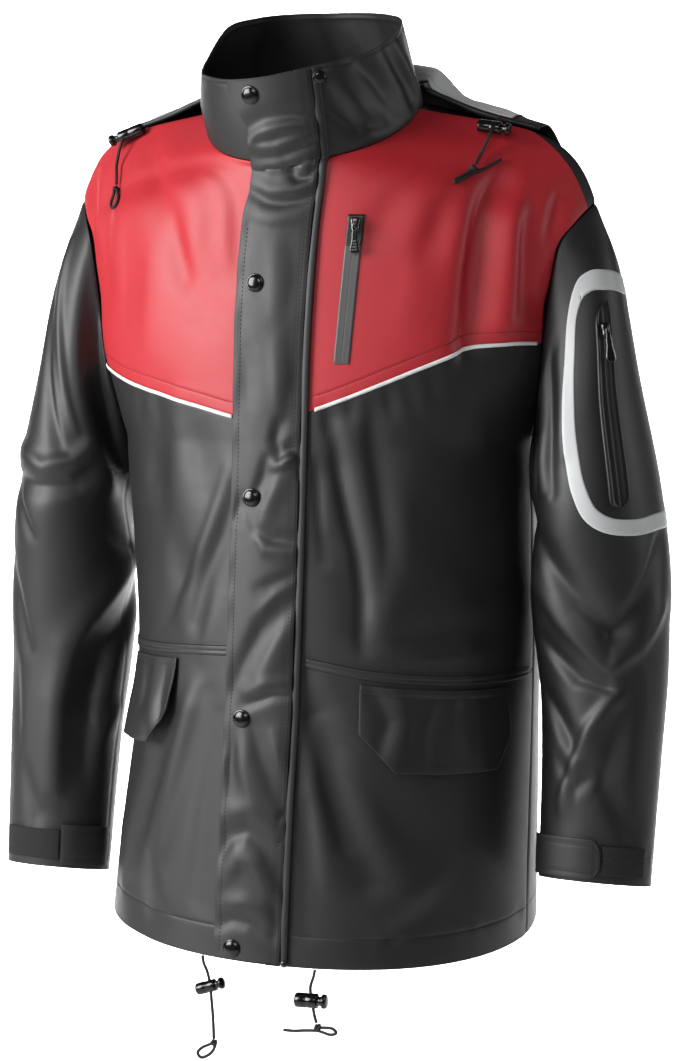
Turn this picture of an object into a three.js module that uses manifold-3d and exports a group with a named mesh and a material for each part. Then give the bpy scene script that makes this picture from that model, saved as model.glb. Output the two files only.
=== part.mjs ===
// A men's hip-length raincoat in coated cloth, standing as it does when worn, with nobody in it.
// Millimetres, +Z up. The wearer faces -Y and +X is the wearer's left. The origin is the middle
// of the neck, level with the two points where the shoulder seams meet the collar.
import * as THREE from "three";
import Module from "manifold-3d";

// Driving dimensions
const CLOTH = 1.6; // wall of coated cloth with its knitted backing
const SEAM = 0.3; // space between two pieces at a seam
const JOINT_X = 35; // where the two fronts meet under the storm flap, off centre to the wearer's left
const JOINT_SLOPE = 0.09; // how far the fronts have turned back by the time they meet there
const NECK_HALF = 103; // neckline, half its width
const NECK_SHIFT = 5; // the neckline sits a little to the wearer's left
const NECK_REACH = 98; // neckline, reach ahead of and behind the origin
const NECK_LOW = -48; // height of the neckline at the throat
const NECK_SIDE = 1; // height where the shoulder seams meet the collar
const NECK_NAPE = 18; // height at the nape
const NECK_AT = 716; // distances up the torso from the hem, along the middle of the front
const RIDGE_AT = 850;
const ARMPIT_AT = 478;
const WAIST_AT = 270;
const LOW_SIDE = 10; // how much lower the hem hangs at the wearer's left side seam

// Torso sections from the hem to the shoulder seam. front and back are y and z on the middle
// lines, edge is the side seam, which above the armpit parts into the two sides of the armhole.
// Turns are the plan direction of the cloth at that edge in degrees from +X, lean is the share of a
// section's fall that comes evenly on its way out, drop is how late the rest comes, and sway moves
// the coat towards the wearer's left.
const TORSO = [
  {
    at: 0, front: [-168, -783], back: [226, -775],
    frontEdge: [211, 30, -779], backEdge: [211, 30, -779],
    turn: [90, -90], lean: [0, 0], drop: [1.6, 1.6], sway: 0, round: 0.6,
  },
  {
    at: 90, front: [-158, -693], back: [220, -688],
    frontEdge: [208, 32, -690], backEdge: [208, 32, -690],
    turn: [90, -90], lean: [0, 0], drop: [1.6, 1.6], sway: 0.02, round: 0.58,
  },
  {
    at: 270, front: [-139, -512], back: [206, -512],
    frontEdge: [201, 36, -518], backEdge: [201, 36, -518],
    turn: [90, -90], lean: [0, 0], drop: [1.6, 1.6], sway: 0.06, round: 0.56,
  },
  {
    at: 378, front: [-128, -404], back: [200, -408],
    frontEdge: [203, 40, -412], backEdge: [203, 40, -412],
    turn: [90, -90], lean: [0, 0], drop: [1.6, 1.6], sway: 0.03, round: 0.56,
  },
  {
    at: 478, front: [-119, -304], back: [194, -308],
    frontEdge: [207, 48, -318], backEdge: [207, 48, -318],
    turn: [90, -90], lean: [0, 0], drop: [1.7, 1.6], sway: 0, round: 0.56,
  },
  {
    at: 545, front: [-114, -238], back: [187, -230],
    frontEdge: [224, 12, -245], backEdge: [222, 92, -245],
    turn: [70, -72], lean: [0, 0], drop: [1.8, 1.6], sway: 0, round: 0.55,
  },
  {
    at: 630, front: [-107, -150], back: [166, -124],
    frontEdge: [230, 8, -175], backEdge: [232, 90, -172],
    turn: [62, -60], lean: [0, 0], drop: [2.0, 1.6], sway: 0, round: 0.52,
  },
  {
    at: 716, front: [-98, -48], back: [98, 18],
    frontEdge: [240, 10, -124], backEdge: [246, 80, -118],
    turn: [48, -40], lean: [0.6, 0.4], drop: [1.6, 2.2], sway: 0, round: 0.48,
  },
  {
    at: 785, front: [-98, -48], back: [98, 18],
    frontEdge: [251, 21, -104], backEdge: [259, 66, -94],
    turn: [30, -14], lean: [0.45, 0.4], drop: [3, 3], sway: 0, round: 0.42,
  },
  {
    at: 850, front: [-98, -48], back: [98, 18],
    frontEdge: [266, 44, -84], backEdge: [266, 44, -84],
    turn: [10, 10], lean: [0.36, 0.36], drop: [5, 5], sway: 0, round: 0.36,
  },
];

// Sleeve sections below the armhole: middle of the section, half its width from the outer to the
// inner side, half its depth from front to back, and how far the outer side stands above the
// inner one, and the front above the back, in degrees.
const SLEEVE = [
  { down: 0.10, mid: [250, 45, -222], wide: 90, deep: 50, lift: 66, nod: 0 },
  { down: 0.24, mid: [260, 43, -298], wide: 70, deep: 68, lift: 46, nod: 0 },
  { down: 0.38, mid: [274, 42, -368], wide: 60, deep: 77, lift: 22, nod: 0 },
  { down: 0.52, mid: [279, 42, -440], wide: 63, deep: 72, lift: 7, nod: 2 },
  { down: 0.67, mid: [282, 37, -520], wide: 60.5, deep: 64, lift: 2, nod: 7 },
  { down: 0.84, mid: [284, 22, -608], wide: 56, deep: 57, lift: 0, nod: 12 },
  { down: 1.0, mid: [284, 2, -722], wide: 53, deep: 48, lift: 0, nod: 14 },
];
const SLEEVE_POSE = {
  left: { cuffDrop: -2, cuffShift: [3, 0] },
  right: { cuffDrop: 44, cuffShift: [-3, 4] },
};

const COLLAR = [
  { up: 0, half: 103, reach: 98, x: 5, y: 0 },
  { up: 0.5, half: 100, reach: 95, x: 1, y: -13 },
  { up: 1, half: 93.5, reach: 90, x: 0, y: -25 },
];
// Height of the collar's rim by degrees round the neck from the throat, positive to the left.
const RIM = [
  { turn: -100, z: 68 },
  { turn: -90, z: 54 },
  { turn: -70, z: 37 },
  { turn: -50, z: 32 },
  { turn: -20, z: 27 },
  { turn: 0, z: 29 },
  { turn: 30, z: 39 },
  { turn: 60, z: 51 },
  { turn: 90, z: 70 },
  { turn: 120, z: 86 },
  { turn: 150, z: 93 },
  { turn: 180, z: 95 },
  { turn: 210, z: 94 },
  { turn: 230, z: 90 },
  { turn: 250, z: 81 },
  { turn: 260, z: 68 },
  { turn: 270, z: 54 },
  { turn: 290, z: 37 },
  { turn: 310, z: 32 },
  { turn: 340, z: 27 },
  { turn: 360, z: 29 },
  { turn: 390, z: 39 },
];

// The largest folds of the front as grooves (negative) and ridges along a line from x, z to x, z.
const TORSO_FOLDS = [
  { from: [190, -78], to: [180, -205], deep: -6, wide: 15 },
  { from: [205, -95], to: [203, -190], deep: 4, wide: 11 },
  { from: [157, -90], to: [140, -125], deep: -2.5, wide: 13 },
  { from: [118, -80], to: [97, -112], deep: -2, wide: 13 },
  { from: [-165, -45], to: [-92, -150], deep: -3, wide: 18 },
  { from: [-52, -80], to: [-48, -150], deep: -2.5, wide: 14 },
  { from: [66, -330], to: [96, -470], deep: -3, wide: 16 },
  { from: [140, -320], to: [118, -460], deep: 3, wide: 20 },
  { from: [-135, -330], to: [-90, -430], deep: -3, wide: 20 },
  { from: [64, -552], to: [112, -700], deep: -4, wide: 18 },
  { from: [-80, -560], to: [-100, -730], deep: 3, wide: 22 },
  { from: [-150, -620], to: [-130, -760], deep: -3, wide: 20 },
];
// Folds of each sleeve, along a line from turn, down to turn, down. wide is in millimetres.
const SLEEVE_FOLDS = {
  left: [
    { from: [0.3, 0.42], to: [0.16, 0.63], deep: -5, wide: 16 },
    { from: [0.16, 0.63], to: [0.02, 0.5], deep: -5, wide: 14 },
    { from: [0.24, 0.6], to: [0.17, 0.7], deep: 4, wide: 14 },
    { from: [0.17, 0.7], to: [0.3, 0.86], deep: -4, wide: 16 },
    { from: [0.86, 0.5], to: [0.74, 0.66], deep: -4, wide: 18 },
    { from: [0.7, 0.42], to: [0.6, 0.58], deep: -4, wide: 18 },
  ],
  right: [
    { from: [0.1, 0.05], to: [0.3, 0.3], deep: 4, wide: 18 },
    { from: [0.04, 0.34], to: [0.22, 0.37], deep: -5, wide: 14 },
    { from: [0.22, 0.37], to: [0.34, 0.3], deep: -5, wide: 14 },
    { from: [0.38, 0.5], to: [0.27, 0.6], deep: -4, wide: 18 },
    { from: [0.27, 0.6], to: [0.2, 0.8], deep: -4, wide: 18 },
    { from: [0.86, 0.5], to: [0.74, 0.62], deep: -4, wide: 18 },
  ],
};

// Rows of cloth up the torso, and the rows at which the piping meets each armhole.
const ROWS = [
  0, 45, 90, 145, 205, 238, 270, 322, 374, 426, 478, 505, 530, 545, 580, 610, 645, 680, 716,
  733, 751, 770, 790, 810, 830, 850,
];
const PIPE_ROW = { left: 580, right: 545 };

// How far up the torso the piping and the waist seam lie, from the fronts' joint out to the side.
const PIPE_LINE = [
  { out: 0, left: 506, right: 491 },
  { out: 0.14, left: 522, right: 500 },
  { out: 0.27, left: 537, right: 510 },
  { out: 0.41, left: 552, right: 519 },
  { out: 0.6, left: 569, right: 529 },
  { out: 0.8, left: 577, right: 539 },
  { out: 1, left: 580, right: 545 },
];
const WAIST_LINE = [
  { out: 0, left: 282, right: 288 },
  { out: 0.1, left: 277, right: 287 },
  { out: 0.25, left: 270, right: 284 },
  { out: 0.5, left: 264, right: 277 },
  { out: 0.75, left: 261, right: 272 },
  { out: 1, left: 260, right: 270 },
];

const rad = (d) => (d * Math.PI) / 180;
const mix = (a, b, t) => a + (b - a) * t;
const add = (p, q, k = 1) => [p[0] + q[0] * k, p[1] + q[1] * k, p[2] + q[2] * k];
const sub = (p, q) => [p[0] - q[0], p[1] - q[1], p[2] - q[2]];
const dot = (p, q) => p[0] * q[0] + p[1] * q[1] + p[2] * q[2];
const cross = (p, q) => [p[1] * q[2] - p[2] * q[1], p[2] * q[0] - p[0] * q[2], p[0] * q[1] - p[1] * q[0]];
const unit = (p) => {
  const l = Math.hypot(...p) || 1;
  return [p[0] / l, p[1] / l, p[2] / l];
};
const clamp = (x, lo, hi) => Math.min(hi, Math.max(lo, x));

// One column of a table, read between its rows with a smooth curve. A corner in the column is
// kept sharp by not looking past it.
function column(table, key, read, x, corner = null) {
  let i = 0;
  while (i < table.length - 2 && table[i + 1][key] < x) i += 1;
  const at = (k) => table[k][key];
  const value = (k) => read(table[k]);
  const slope = (k) => {
    const first = k === 0 || (at(k) === corner && k === i);
    const last = k === table.length - 1 || (at(k) === corner && k === i + 1);
    if (first) return (value(k + 1) - value(k)) / (at(k + 1) - at(k));
    if (last) return (value(k) - value(k - 1)) / (at(k) - at(k - 1));
    const before = (value(k) - value(k - 1)) / (at(k) - at(k - 1));
    const after = (value(k + 1) - value(k)) / (at(k + 1) - at(k));
    return before * after <= 0 ? 0 : (before + after) / 2;
  };
  const span = at(i + 1) - at(i);
  const t = clamp((x - at(i)) / span, -0.1, 1.1);
  const t2 = t * t;
  const t3 = t2 * t;
  return (
    (2 * t3 - 3 * t2 + 1) * value(i) +
    (t3 - 2 * t2 + t) * span * slope(i) +
    (3 * t2 - 2 * t3) * value(i + 1) +
    (t3 - t2) * span * slope(i + 1)
  );
}

// The neckline at an angle round the neck, 0 at the throat and positive to the wearer's left.
function neckline(angle) {
  const c = Math.cos(angle);
  const z = c > 0 ? mix(NECK_SIDE, NECK_LOW, c ** 0.85) : mix(NECK_SIDE, NECK_NAPE, c * c);
  return [NECK_SHIFT + NECK_HALF * Math.sin(angle), -NECK_REACH * c, z];
}
const wordOf = (side) => (side > 0 ? "left" : "right");
const SLEEVE_ROUND = 440; // girth of a sleeve
const SLEEVE_LONG = 640; // its length down the outer side
const JOINT_ANGLE = Math.asin((JOINT_X - NECK_SHIFT) / NECK_HALF);
const SHOULDER_ANGLE = rad(93);

// How far a point lies from a line between two others, all in a plane.
function away(px, py, a, b) {
  const dx = b[0] - a[0];
  const dy = b[1] - a[1];
  const t = clamp(((px - a[0]) * dx + (py - a[1]) * dy) / (dx * dx + dy * dy), 0, 1);
  return Math.hypot(px - a[0] - dx * t, py - a[1] - dy * t);
}
// The front with its folds: cloth moves in or out from the upright axis of the coat.
function folded(p) {
  let out = 0;
  for (const f of TORSO_FOLDS) {
    out += f.deep * Math.exp(-((away(p[0], p[2], f.from, f.to) / f.wide) ** 2));
  }
  const r = Math.hypot(p[0], p[1] - 35);
  const fade = clamp((30 - p[1]) / 40, 0, 1);
  return [p[0] + (p[0] / r) * out * fade, p[1] + ((p[1] - 35) / r) * out * fade, p[2]];
}

// A point of the torso. face is "front" or "back", side is 1 on the wearer's left and -1 on the
// right, out runs from the middle or neckline (0) to the side seam or armhole (1), at runs up.
function torso(face, side, out, at) {
  const front = face === "front";
  const read = (pick, corner) => column(TORSO, "at", pick, at, corner);
  let start;
  let lead;
  let straight;
  const above = clamp((at - NECK_AT) / (RIDGE_AT - NECK_AT), 0, 1);
  if (front) {
    const apex = [read((r) => r.front[0], NECK_AT), read((r) => r.front[1], NECK_AT)];
    const angle = mix(JOINT_ANGLE, side * SHOULDER_ANGLE, above);
    const ring = neckline(angle);
    const flat = neckline(JOINT_ANGLE);
    const settle = clamp(at / NECK_AT, 0, 1);
    const forward = mix(2.2, flat[1] + NECK_REACH, settle ** 3);
    const raised = (flat[2] - NECK_LOW) * settle ** 3;
    start = at < NECK_AT ? [JOINT_X, apex[0] + forward, apex[1] + raised] : ring;
    lead = side > 0 ? [1, JOINT_SLOPE] : [-1, -JOINT_SLOPE];
    straight = Math.min(1, above * 2.5);
  } else {
    const apex = [read((r) => r.back[0], NECK_AT), read((r) => r.back[1], NECK_AT)];
    const ring = neckline(mix(Math.PI, side > 0 ? SHOULDER_ANGLE : 2 * Math.PI - SHOULDER_ANGLE, above));
    start = at < NECK_AT ? [0, apex[0], apex[1]] : ring;
    lead = [side, 0];
    straight = Math.min(1, above * 1.5);
  }
  const pick = front ? "frontEdge" : "backEdge";
  const sway = read((r) => r.sway);
  const end = [
    side * read((r) => r[pick][0], ARMPIT_AT) * (1 + side * sway),
    read((r) => r[pick][1], ARMPIT_AT),
    read((r) => r[pick][2], ARMPIT_AT) - (side > 0 ? LOW_SIDE * (1 - clamp(at / WAIST_AT, 0, 1)) ** 2 : 0),
  ];
  const half = front ? 0 : 1;
  const turn = rad(read((r) => r.turn[half]));
  const wide = Math.abs(end[0] - start[0]);
  const deep = Math.abs(end[1] - start[1]);
  const chord = Math.hypot(end[0] - start[0], end[1] - start[1]);
  lead = [
    mix(lead[0], (end[0] - start[0]) / chord, straight),
    mix(lead[1], (end[1] - start[1]) / chord, straight),
  ];
  const round = read((r) => r.round);
  const h0 = round * wide;
  const h1 = round * Math.max(deep, 0.5 * wide);
  const a = [start[0] + lead[0] * h0, start[1] + lead[1] * h0];
  const b = [end[0] - side * Math.cos(turn) * h1, end[1] - Math.sin(turn) * h1];
  const t = out;
  const s = 1 - t;
  const w = [s * s * s, 3 * s * s * t, 3 * s * t * t, t * t * t];
  const x = w[0] * start[0] + w[1] * a[0] + w[2] * b[0] + w[3] * end[0];
  const y = w[0] * start[1] + w[1] * a[1] + w[2] * b[1] + w[3] * end[1];
  const lean = read((r) => r.lean[half]);
  const fall = lean * t + (1 - lean) * t ** read((r) => r.drop[half]);
  const z = mix(start[2], end[2], fall);
  return front ? folded([x, y, z]) : [x, y, z];
}

// The loop of one armhole, front side from the shoulder (0) to the armpit (0.5), then up the back.
function armhole(side, turn) {
  const down = turn <= 0.5;
  const at = mix(RIDGE_AT, ARMPIT_AT, down ? turn * 2 : 2 - turn * 2);
  return torso(down ? "front" : "back", side, 1, at);
}

// A point of a sleeve. down runs from the armhole (0) to the cuff (1), turn as on the armhole.
function sleeveRing(side, row, turn) {
  const pose = side > 0 ? SLEEVE_POSE.left : SLEEVE_POSE.right;
  const k = row.down ** 1.5;
  const mid = [
    side * row.mid[0] + pose.cuffShift[0] * k,
    row.mid[1] + pose.cuffShift[1] * k,
    row.mid[2] - pose.cuffDrop * k,
  ];
  const angle = turn * 2 * Math.PI;
  const out = [side * Math.cos(rad(row.lift)), 0, Math.sin(rad(row.lift))];
  const fore = [0, -Math.cos(rad(row.nod)), Math.sin(rad(row.nod))];
  return add(add(mid, out, row.wide * Math.cos(angle)), fore, row.deep * Math.sin(angle));
}
function sleeve(side, turn, down) {
  const table = [{ down: 0, p: armhole(side, turn) }];
  for (const row of SLEEVE) table.push({ down: row.down, p: sleeveRing(side, row, turn) });
  const p = [0, 1, 2].map((k) => column(table, "down", (r) => r.p[k], down));
  let out = 0;
  for (const f of SLEEVE_FOLDS[wordOf(side)]) {
    const wrap = turn - f.from[0] > 0.5 ? turn - 1 : turn - f.from[0] < -0.5 ? turn + 1 : turn;
    const from = [f.from[0] * SLEEVE_ROUND, f.from[1] * SLEEVE_LONG];
    const to = [f.to[0] * SLEEVE_ROUND, f.to[1] * SLEEVE_LONG];
    const d = away(wrap * SLEEVE_ROUND, down * SLEEVE_LONG, from, to);
    out += f.deep * Math.exp(-((d / f.wide) ** 2));
  }
  const angle = turn * 2 * Math.PI;
  return [p[0] + side * Math.cos(angle) * out, p[1] - Math.sin(angle) * out, p[2]];
}

// A point of the collar, by angle round the neck and height up it.
function collar(angle, up) {
  const read = (pick) => column(COLLAR, "up", pick, up);
  const rim = column(RIM, "turn", (r) => r.z, (angle * 180) / Math.PI);
  return [
    read((r) => r.x) + read((r) => r.half) * Math.sin(angle),
    read((r) => r.y) - read((r) => r.reach) * Math.cos(angle),
    mix(neckline(angle)[2], rim, up),
  ];
}

// Cloth: a wall of even thickness on a grid of surface points. The surface is a function of two
// grid places, and its outer face is the one its first direction cross its second points at.
function normalOf(surface, i, j) {
  const e = 0.02;
  const du = sub(surface(i + e, j), surface(i - e, j));
  const dv = sub(surface(i, j + e), surface(i, j - e));
  return unit(cross(du, dv));
}
// openTo leaves the first edge open up to that row, for a neighbour to be sewn on there.
function sheet(surface, ni, nj, { thick = CLOTH, lift = 0, loop = false, flip = false, openTo = 0 } = {}) {
  const points = [];
  const faces = [];
  const cols = loop ? ni : ni + 1;
  const sign = flip ? -1 : 1;
  for (const shift of [lift + thick / 2, lift - thick / 2]) {
    for (let i = 0; i < cols; i += 1) {
      for (let j = 0; j <= nj; j += 1) {
        const n = normalOf(surface, i, j);
        points.push(add(surface(i, j), n, sign * shift));
      }
    }
  }
  const id = (layer, i, j) => layer * cols * (nj + 1) + (loop ? i % ni : i) * (nj + 1) + j;
  const quad = (a, b, c, d) => {
    if (flip) faces.push([a, c, b], [a, d, c]);
    else faces.push([a, b, c], [a, c, d]);
  };
  for (let i = 0; i < ni; i += 1) {
    for (let j = 0; j < nj; j += 1) {
      quad(id(0, i, j), id(0, i + 1, j), id(0, i + 1, j + 1), id(0, i, j + 1));
      quad(id(1, i, j), id(1, i, j + 1), id(1, i + 1, j + 1), id(1, i + 1, j));
    }
    quad(id(1, i, 0), id(1, i + 1, 0), id(0, i + 1, 0), id(0, i, 0));
    quad(id(0, i, nj), id(0, i + 1, nj), id(1, i + 1, nj), id(1, i, nj));
  }
  if (!loop) {
    for (let j = 0; j < nj; j += 1) {
      if (j >= openTo) quad(id(0, 0, j), id(0, 0, j + 1), id(1, 0, j + 1), id(1, 0, j));
      quad(id(1, ni, j), id(1, ni, j + 1), id(0, ni, j + 1), id(0, ni, j));
    }
  }
  return { points, faces, id };
}
const wall = (...given) => {
  const { points, faces } = sheet(...given);
  return solid(points, faces);
};
// Two sheets in one piece, sharing the points of their first edges up to a row.
function oneCloth(a, b, rows) {
  const shared = new Map();
  for (const layer of [0, 1]) {
    for (let j = 0; j <= rows; j += 1) shared.set(b.id(layer, 0, j), a.id(layer, 0, j));
  }
  const renamed = (v) => (shared.has(v) ? shared.get(v) : v + a.points.length);
  const faces = [...a.faces, ...b.faces.map((f) => f.map(renamed))];
  const used = [...new Set(faces.flat())];
  const place = new Map(used.map((v, k) => [v, k]));
  const points = [...a.points, ...b.points];
  return solid(used.map((v) => points[v]), faces.map((f) => f.map((v) => place.get(v))));
}
function solid(points, faces) {
  const g = new THREE.BufferGeometry();
  g.setAttribute("position", new THREE.BufferAttribute(new Float32Array(points.flat()), 3));
  g.setIndex(faces.flat());
  g.computeVertexNormals();
  return g;
}

const material = (name, colour, roughness, metalness = 0) => {
  const m = new THREE.MeshStandardMaterial({ color: colour, roughness, metalness });
  m.name = name;
  return m;
};
const BLACK = material("black_coated_cloth", "#1d1d1f", 0.55);
const RED = material("red_coated_cloth", "#b5202c", 0.45);
const GREY = material("light_grey_cloth", "#c9cccd", 0.5);

const group = new THREE.Group();
function place(name, geometry, look) {
  const mesh = new THREE.Mesh(geometry, look);
  mesh.name = name;
  group.add(mesh);
  return mesh;
}

const pipeAt = (side, out) => column(PIPE_LINE, "out", (r) => r[wordOf(side)], out);
const waistAt = (side, out) => column(WAIST_LINE, "out", (r) => r[wordOf(side)], out);

const OUT_STEPS = 11;
function stepped(rows, j) {
  const k = clamp(Math.floor(j), 0, rows.length - 2);
  return mix(rows[k], rows[k + 1], j - k);
}

for (const [side, word] of [[1, "left"], [-1, "right"]]) {
  const pipeRow = PIPE_ROW[word];
  const skirtRows = ROWS.filter((r) => r <= WAIST_AT);
  const bodyRows = ROWS.filter((r) => r >= WAIST_AT && r <= pipeRow);
  const yokeRows = ROWS.filter((r) => r >= pipeRow);
  const g = SEAM / 2;
  // The innermost and outermost columns stand back by half a seam.
  const placeOut = (i) => clamp(i / OUT_STEPS, 0.0006, 0.9994);
  const skirt = (i, j) => {
    const o = placeOut(i);
    return torso("front", side, o, (stepped(skirtRows, j) / WAIST_AT) * (waistAt(side, o) - g));
  };
  place("skirt_" + word, wall(skirt, OUT_STEPS, skirtRows.length - 1, { flip: side < 0 }), BLACK);
  const body = (i, j) => {
    const o = placeOut(i);
    const row = stepped(bodyRows, j);
    if (row <= ARMPIT_AT) {
      const k = (row - WAIST_AT) / (ARMPIT_AT - WAIST_AT);
      return torso("front", side, o, mix(waistAt(side, o) + g, ARMPIT_AT, k));
    }
    const k = (row - ARMPIT_AT) / (pipeRow - ARMPIT_AT);
    return torso("front", side, o, mix(ARMPIT_AT, pipeAt(side, o) - g, k));
  };
  place("front_" + word, wall(body, OUT_STEPS, bodyRows.length - 1, { flip: side < 0 }), BLACK);
  const yoke = (i, j) => {
    const o = placeOut(i);
    const row = stepped(yokeRows, j);
    const low = pipeAt(side, o) + g;
    const at = row <= NECK_AT ? mix(low, NECK_AT, (row - pipeRow) / (NECK_AT - pipeRow)) : row;
    return torso("front", side, o, Math.min(at, RIDGE_AT - 1.2));
  };
  place("front_yoke_" + word, wall(yoke, OUT_STEPS, yokeRows.length - 1, { flip: side < 0 }), RED);
}
{
  // The back is one piece of cloth up to the neckline, with a half on each side of the neck above it.
  const neckRow = ROWS.indexOf(NECK_AT);
  const half = (side) => (i, j) => {
    const o = i / OUT_STEPS;
    const at = Math.min(stepped(ROWS, j), RIDGE_AT - 1.2);
    const over = o < 0 && at <= NECK_AT ? -side : side;
    return torso("back", over, over === side ? clamp(o, 0, 0.9994) : -o, at);
  };
  const cut = { openTo: neckRow };
  const left = sheet(half(1), OUT_STEPS, ROWS.length - 1, { ...cut, flip: true });
  const right = sheet(half(-1), OUT_STEPS, ROWS.length - 1, cut);
  place("back", oneCloth(left, right, neckRow), BLACK);
}
{
  const SLEEVE_COLS = 18;
  const SLEEVE_STEPS = 17;
  for (const [side, word] of [[1, "left"], [-1, "right"]]) {
    const cloth = (i, j) => {
      const turn = (((i / SLEEVE_COLS) % 1) + 1) % 1;
      const off = mix(0.007, 0.042, Math.sin(turn * Math.PI) ** 4);
      return sleeve(side, turn, mix(off, 1, j / SLEEVE_STEPS));
    };
    place("sleeve_" + word, wall(cloth, SLEEVE_COLS, SLEEVE_STEPS, { loop: true, flip: side < 0 }), BLACK);
  }
  // The collar's columns stand over the fronts' and the back's own rows at the neckline.
  const FULL = 2 * Math.PI;
  const turns = [];
  const rows = ROWS.filter((r) => r >= NECK_AT).map((r) => (r - NECK_AT) / (RIDGE_AT - NECK_AT));
  for (const k of rows) turns.push(mix(JOINT_ANGLE + 0.004, SHOULDER_ANGLE, k));
  for (const k of rows.slice(0, -1).reverse()) turns.push(mix(Math.PI, SHOULDER_ANGLE, k));
  for (const k of rows.slice(1)) turns.push(mix(Math.PI, FULL - SHOULDER_ANGLE, k));
  for (const k of rows.slice(0, -1).reverse()) {
    turns.push(mix(JOINT_ANGLE - 0.004, -SHOULDER_ANGLE, k) + FULL);
  }
  const stand = (i, j) => collar(stepped(turns, i), mix(0.024, 1, j / 4));
  place("collar", wall(stand, turns.length - 1, 4, { thick: 2.2 }), BLACK);
}

// The place on the front's surface at x and height z, on the torso below the neckline and on the
// collar above it.
function solve(surface, target, pick, start, step, low, high) {
  let p = start;
  for (let n = 0; n < 9; n += 1) {
    const at = pick(surface(p[0], p[1]));
    const du = pick(surface(p[0] + step[0], p[1]));
    const dv = pick(surface(p[0], p[1] + step[1]));
    const a = (du[0] - at[0]) / step[0];
    const b = (dv[0] - at[0]) / step[1];
    const c = (du[1] - at[1]) / step[0];
    const d = (dv[1] - at[1]) / step[1];
    const e = [target[0] - at[0], target[1] - at[1]];
    const det = a * d - b * c || 1e-9;
    p = [
      clamp(p[0] + (e[0] * d - e[1] * b) / det, low[0], high[0]),
      clamp(p[1] + (e[1] * a - e[0] * c) / det, low[1], high[1]),
    ];
  }
  return p;
}
const plan = (p) => [p[0], p[2]];
function front(x, z) {
  const angle = Math.asin(clamp((x - NECK_SHIFT) / NECK_HALF, -1, 1));
  if (z > neckline(angle)[2] && Math.abs(x) < 80) {
    const low = [-1.4, 0];
    const [turn, up] = solve(collar, [x, z], plan, [angle, 0.4], [0.01, 0.01], low, [1.4, 1.25]);
    return collar(turn, up);
  }
  const side = x >= JOINT_X ? 1 : -1;
  const reach = side > 0 ? (x - JOINT_X) / 190 : (JOINT_X - x) / 245;
  const high = z > -110 ? 850 : NECK_AT;
  const surface = (o, a) => torso("front", side, o, a);
  const guess = [clamp(reach * 0.7, 0, 0.9), clamp((z + 783) * 0.98, 5, 700)];
  const [out, at] = solve(surface, [x, z], plan, guess, [0.002, 0.5], [0, -8], [1, high]);
  return torso("front", side, out, at);
}
function frontNormal(x, z) {
  const e = 1.5;
  return unit(cross(sub(front(x + e, z), front(x - e, z)), sub(front(x, z + e), front(x, z - e))));
}
const onFront = (x, z, lift) => add(front(x, z), frontNormal(x, z), lift);

// A patch of cloth laid on a surface: wall() with the lift that clears what is under it.
const LAID = CLOTH / 2 + SEAM + 0.4;
const laid = (surface, ni, nj, thick, under = 0, extra = {}) =>
  wall(surface, ni, nj, { thick, lift: LAID + under + thick / 2, ...extra });

// Edges of the storm flap by height: its free edge and the edge where it is sewn on.
const FLAP = [
  { z: -784, free: -31, sewn: 35 },
  { z: -720, free: -30.5, sewn: 34.8 },
  { z: -500, free: -28.5, sewn: 37 },
  { z: -278, free: -29.5, sewn: 36 },
  { z: -200, free: -30, sewn: 36.5 },
  { z: -108, free: -26, sewn: 40.5 },
  { z: -50, free: -17, sewn: 45 },
  { z: -15, free: -19, sewn: 44.5 },
  { z: 0, free: -26, sewn: 43.5 },
  { z: 20, free: -34, sewn: 41.5 },
  { z: 34, free: -35, sewn: 40.5 },
];
const FLAP_ROWS = [
  -780, -755, -720, -680, -640, -600, -560, -520, -480, -440, -400, -360, -320, -280, -240,
  -205, -170, -140, -112, -88, -68, -52, -38, -22, -4, 14, 27,
];
const free = (z) => column(FLAP, "z", (r) => r.free, z);
const sewn = (z) => column(FLAP, "z", (r) => r.sewn, z);
const ZIP_THICK = 1.4;
const flapCloth = (i, j) => {
  const z = stepped(FLAP_ROWS, j);
  return [mix(free(z), sewn(z), i / 4), z];
};
// Towards its top the flap follows the collar's rim.
const rimAt = (x) => column(RIM, "turn", (r) => r.z, (Math.asin(x / 93.5) * 180) / Math.PI);
const toRim = (x, z) => (z > 0 ? (z / 27) * (rimAt(x) - 1) : z);
const GLOSS = material("black_gloss_plastic", "#0e0e10", 0.2);
const TAPE = material("black_zip_tape", "#141416", 0.5);
const WHITE = material("white_piping", "#e9eaea", 0.5);
const REFLECT = material("light_grey_band", "#c9cccd", 0.45);
const HOOK = material("black_hook_fabric", "#161616", 0.95);
const CORD = material("black_cord", "#121212", 0.8);

place("storm_flap", laid((i, j) => {
  const [x, z] = flapCloth(i, j);
  return front(x, toRim(x, z));
}, 4, FLAP_ROWS.length - 1, 1.8, ZIP_THICK + SEAM + 1), BLACK);
place("flap_binding", laid((i, j) => {
  const z = stepped(FLAP_ROWS, j);
  const x = sewn(z) + SEAM + i * 6.5;
  return front(x, toRim(x, z));
}, 1, FLAP_ROWS.length - 1, 2.6), BLACK);
place("front_zip", laid((i, j) => {
  const z = stepped([-783, ...FLAP_ROWS.slice(1, -1), 22], j);
  return front(sewn(z) - 14 + i * 6.6, z);
}, 2, FLAP_ROWS.length - 1, ZIP_THICK), TAPE);

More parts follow.
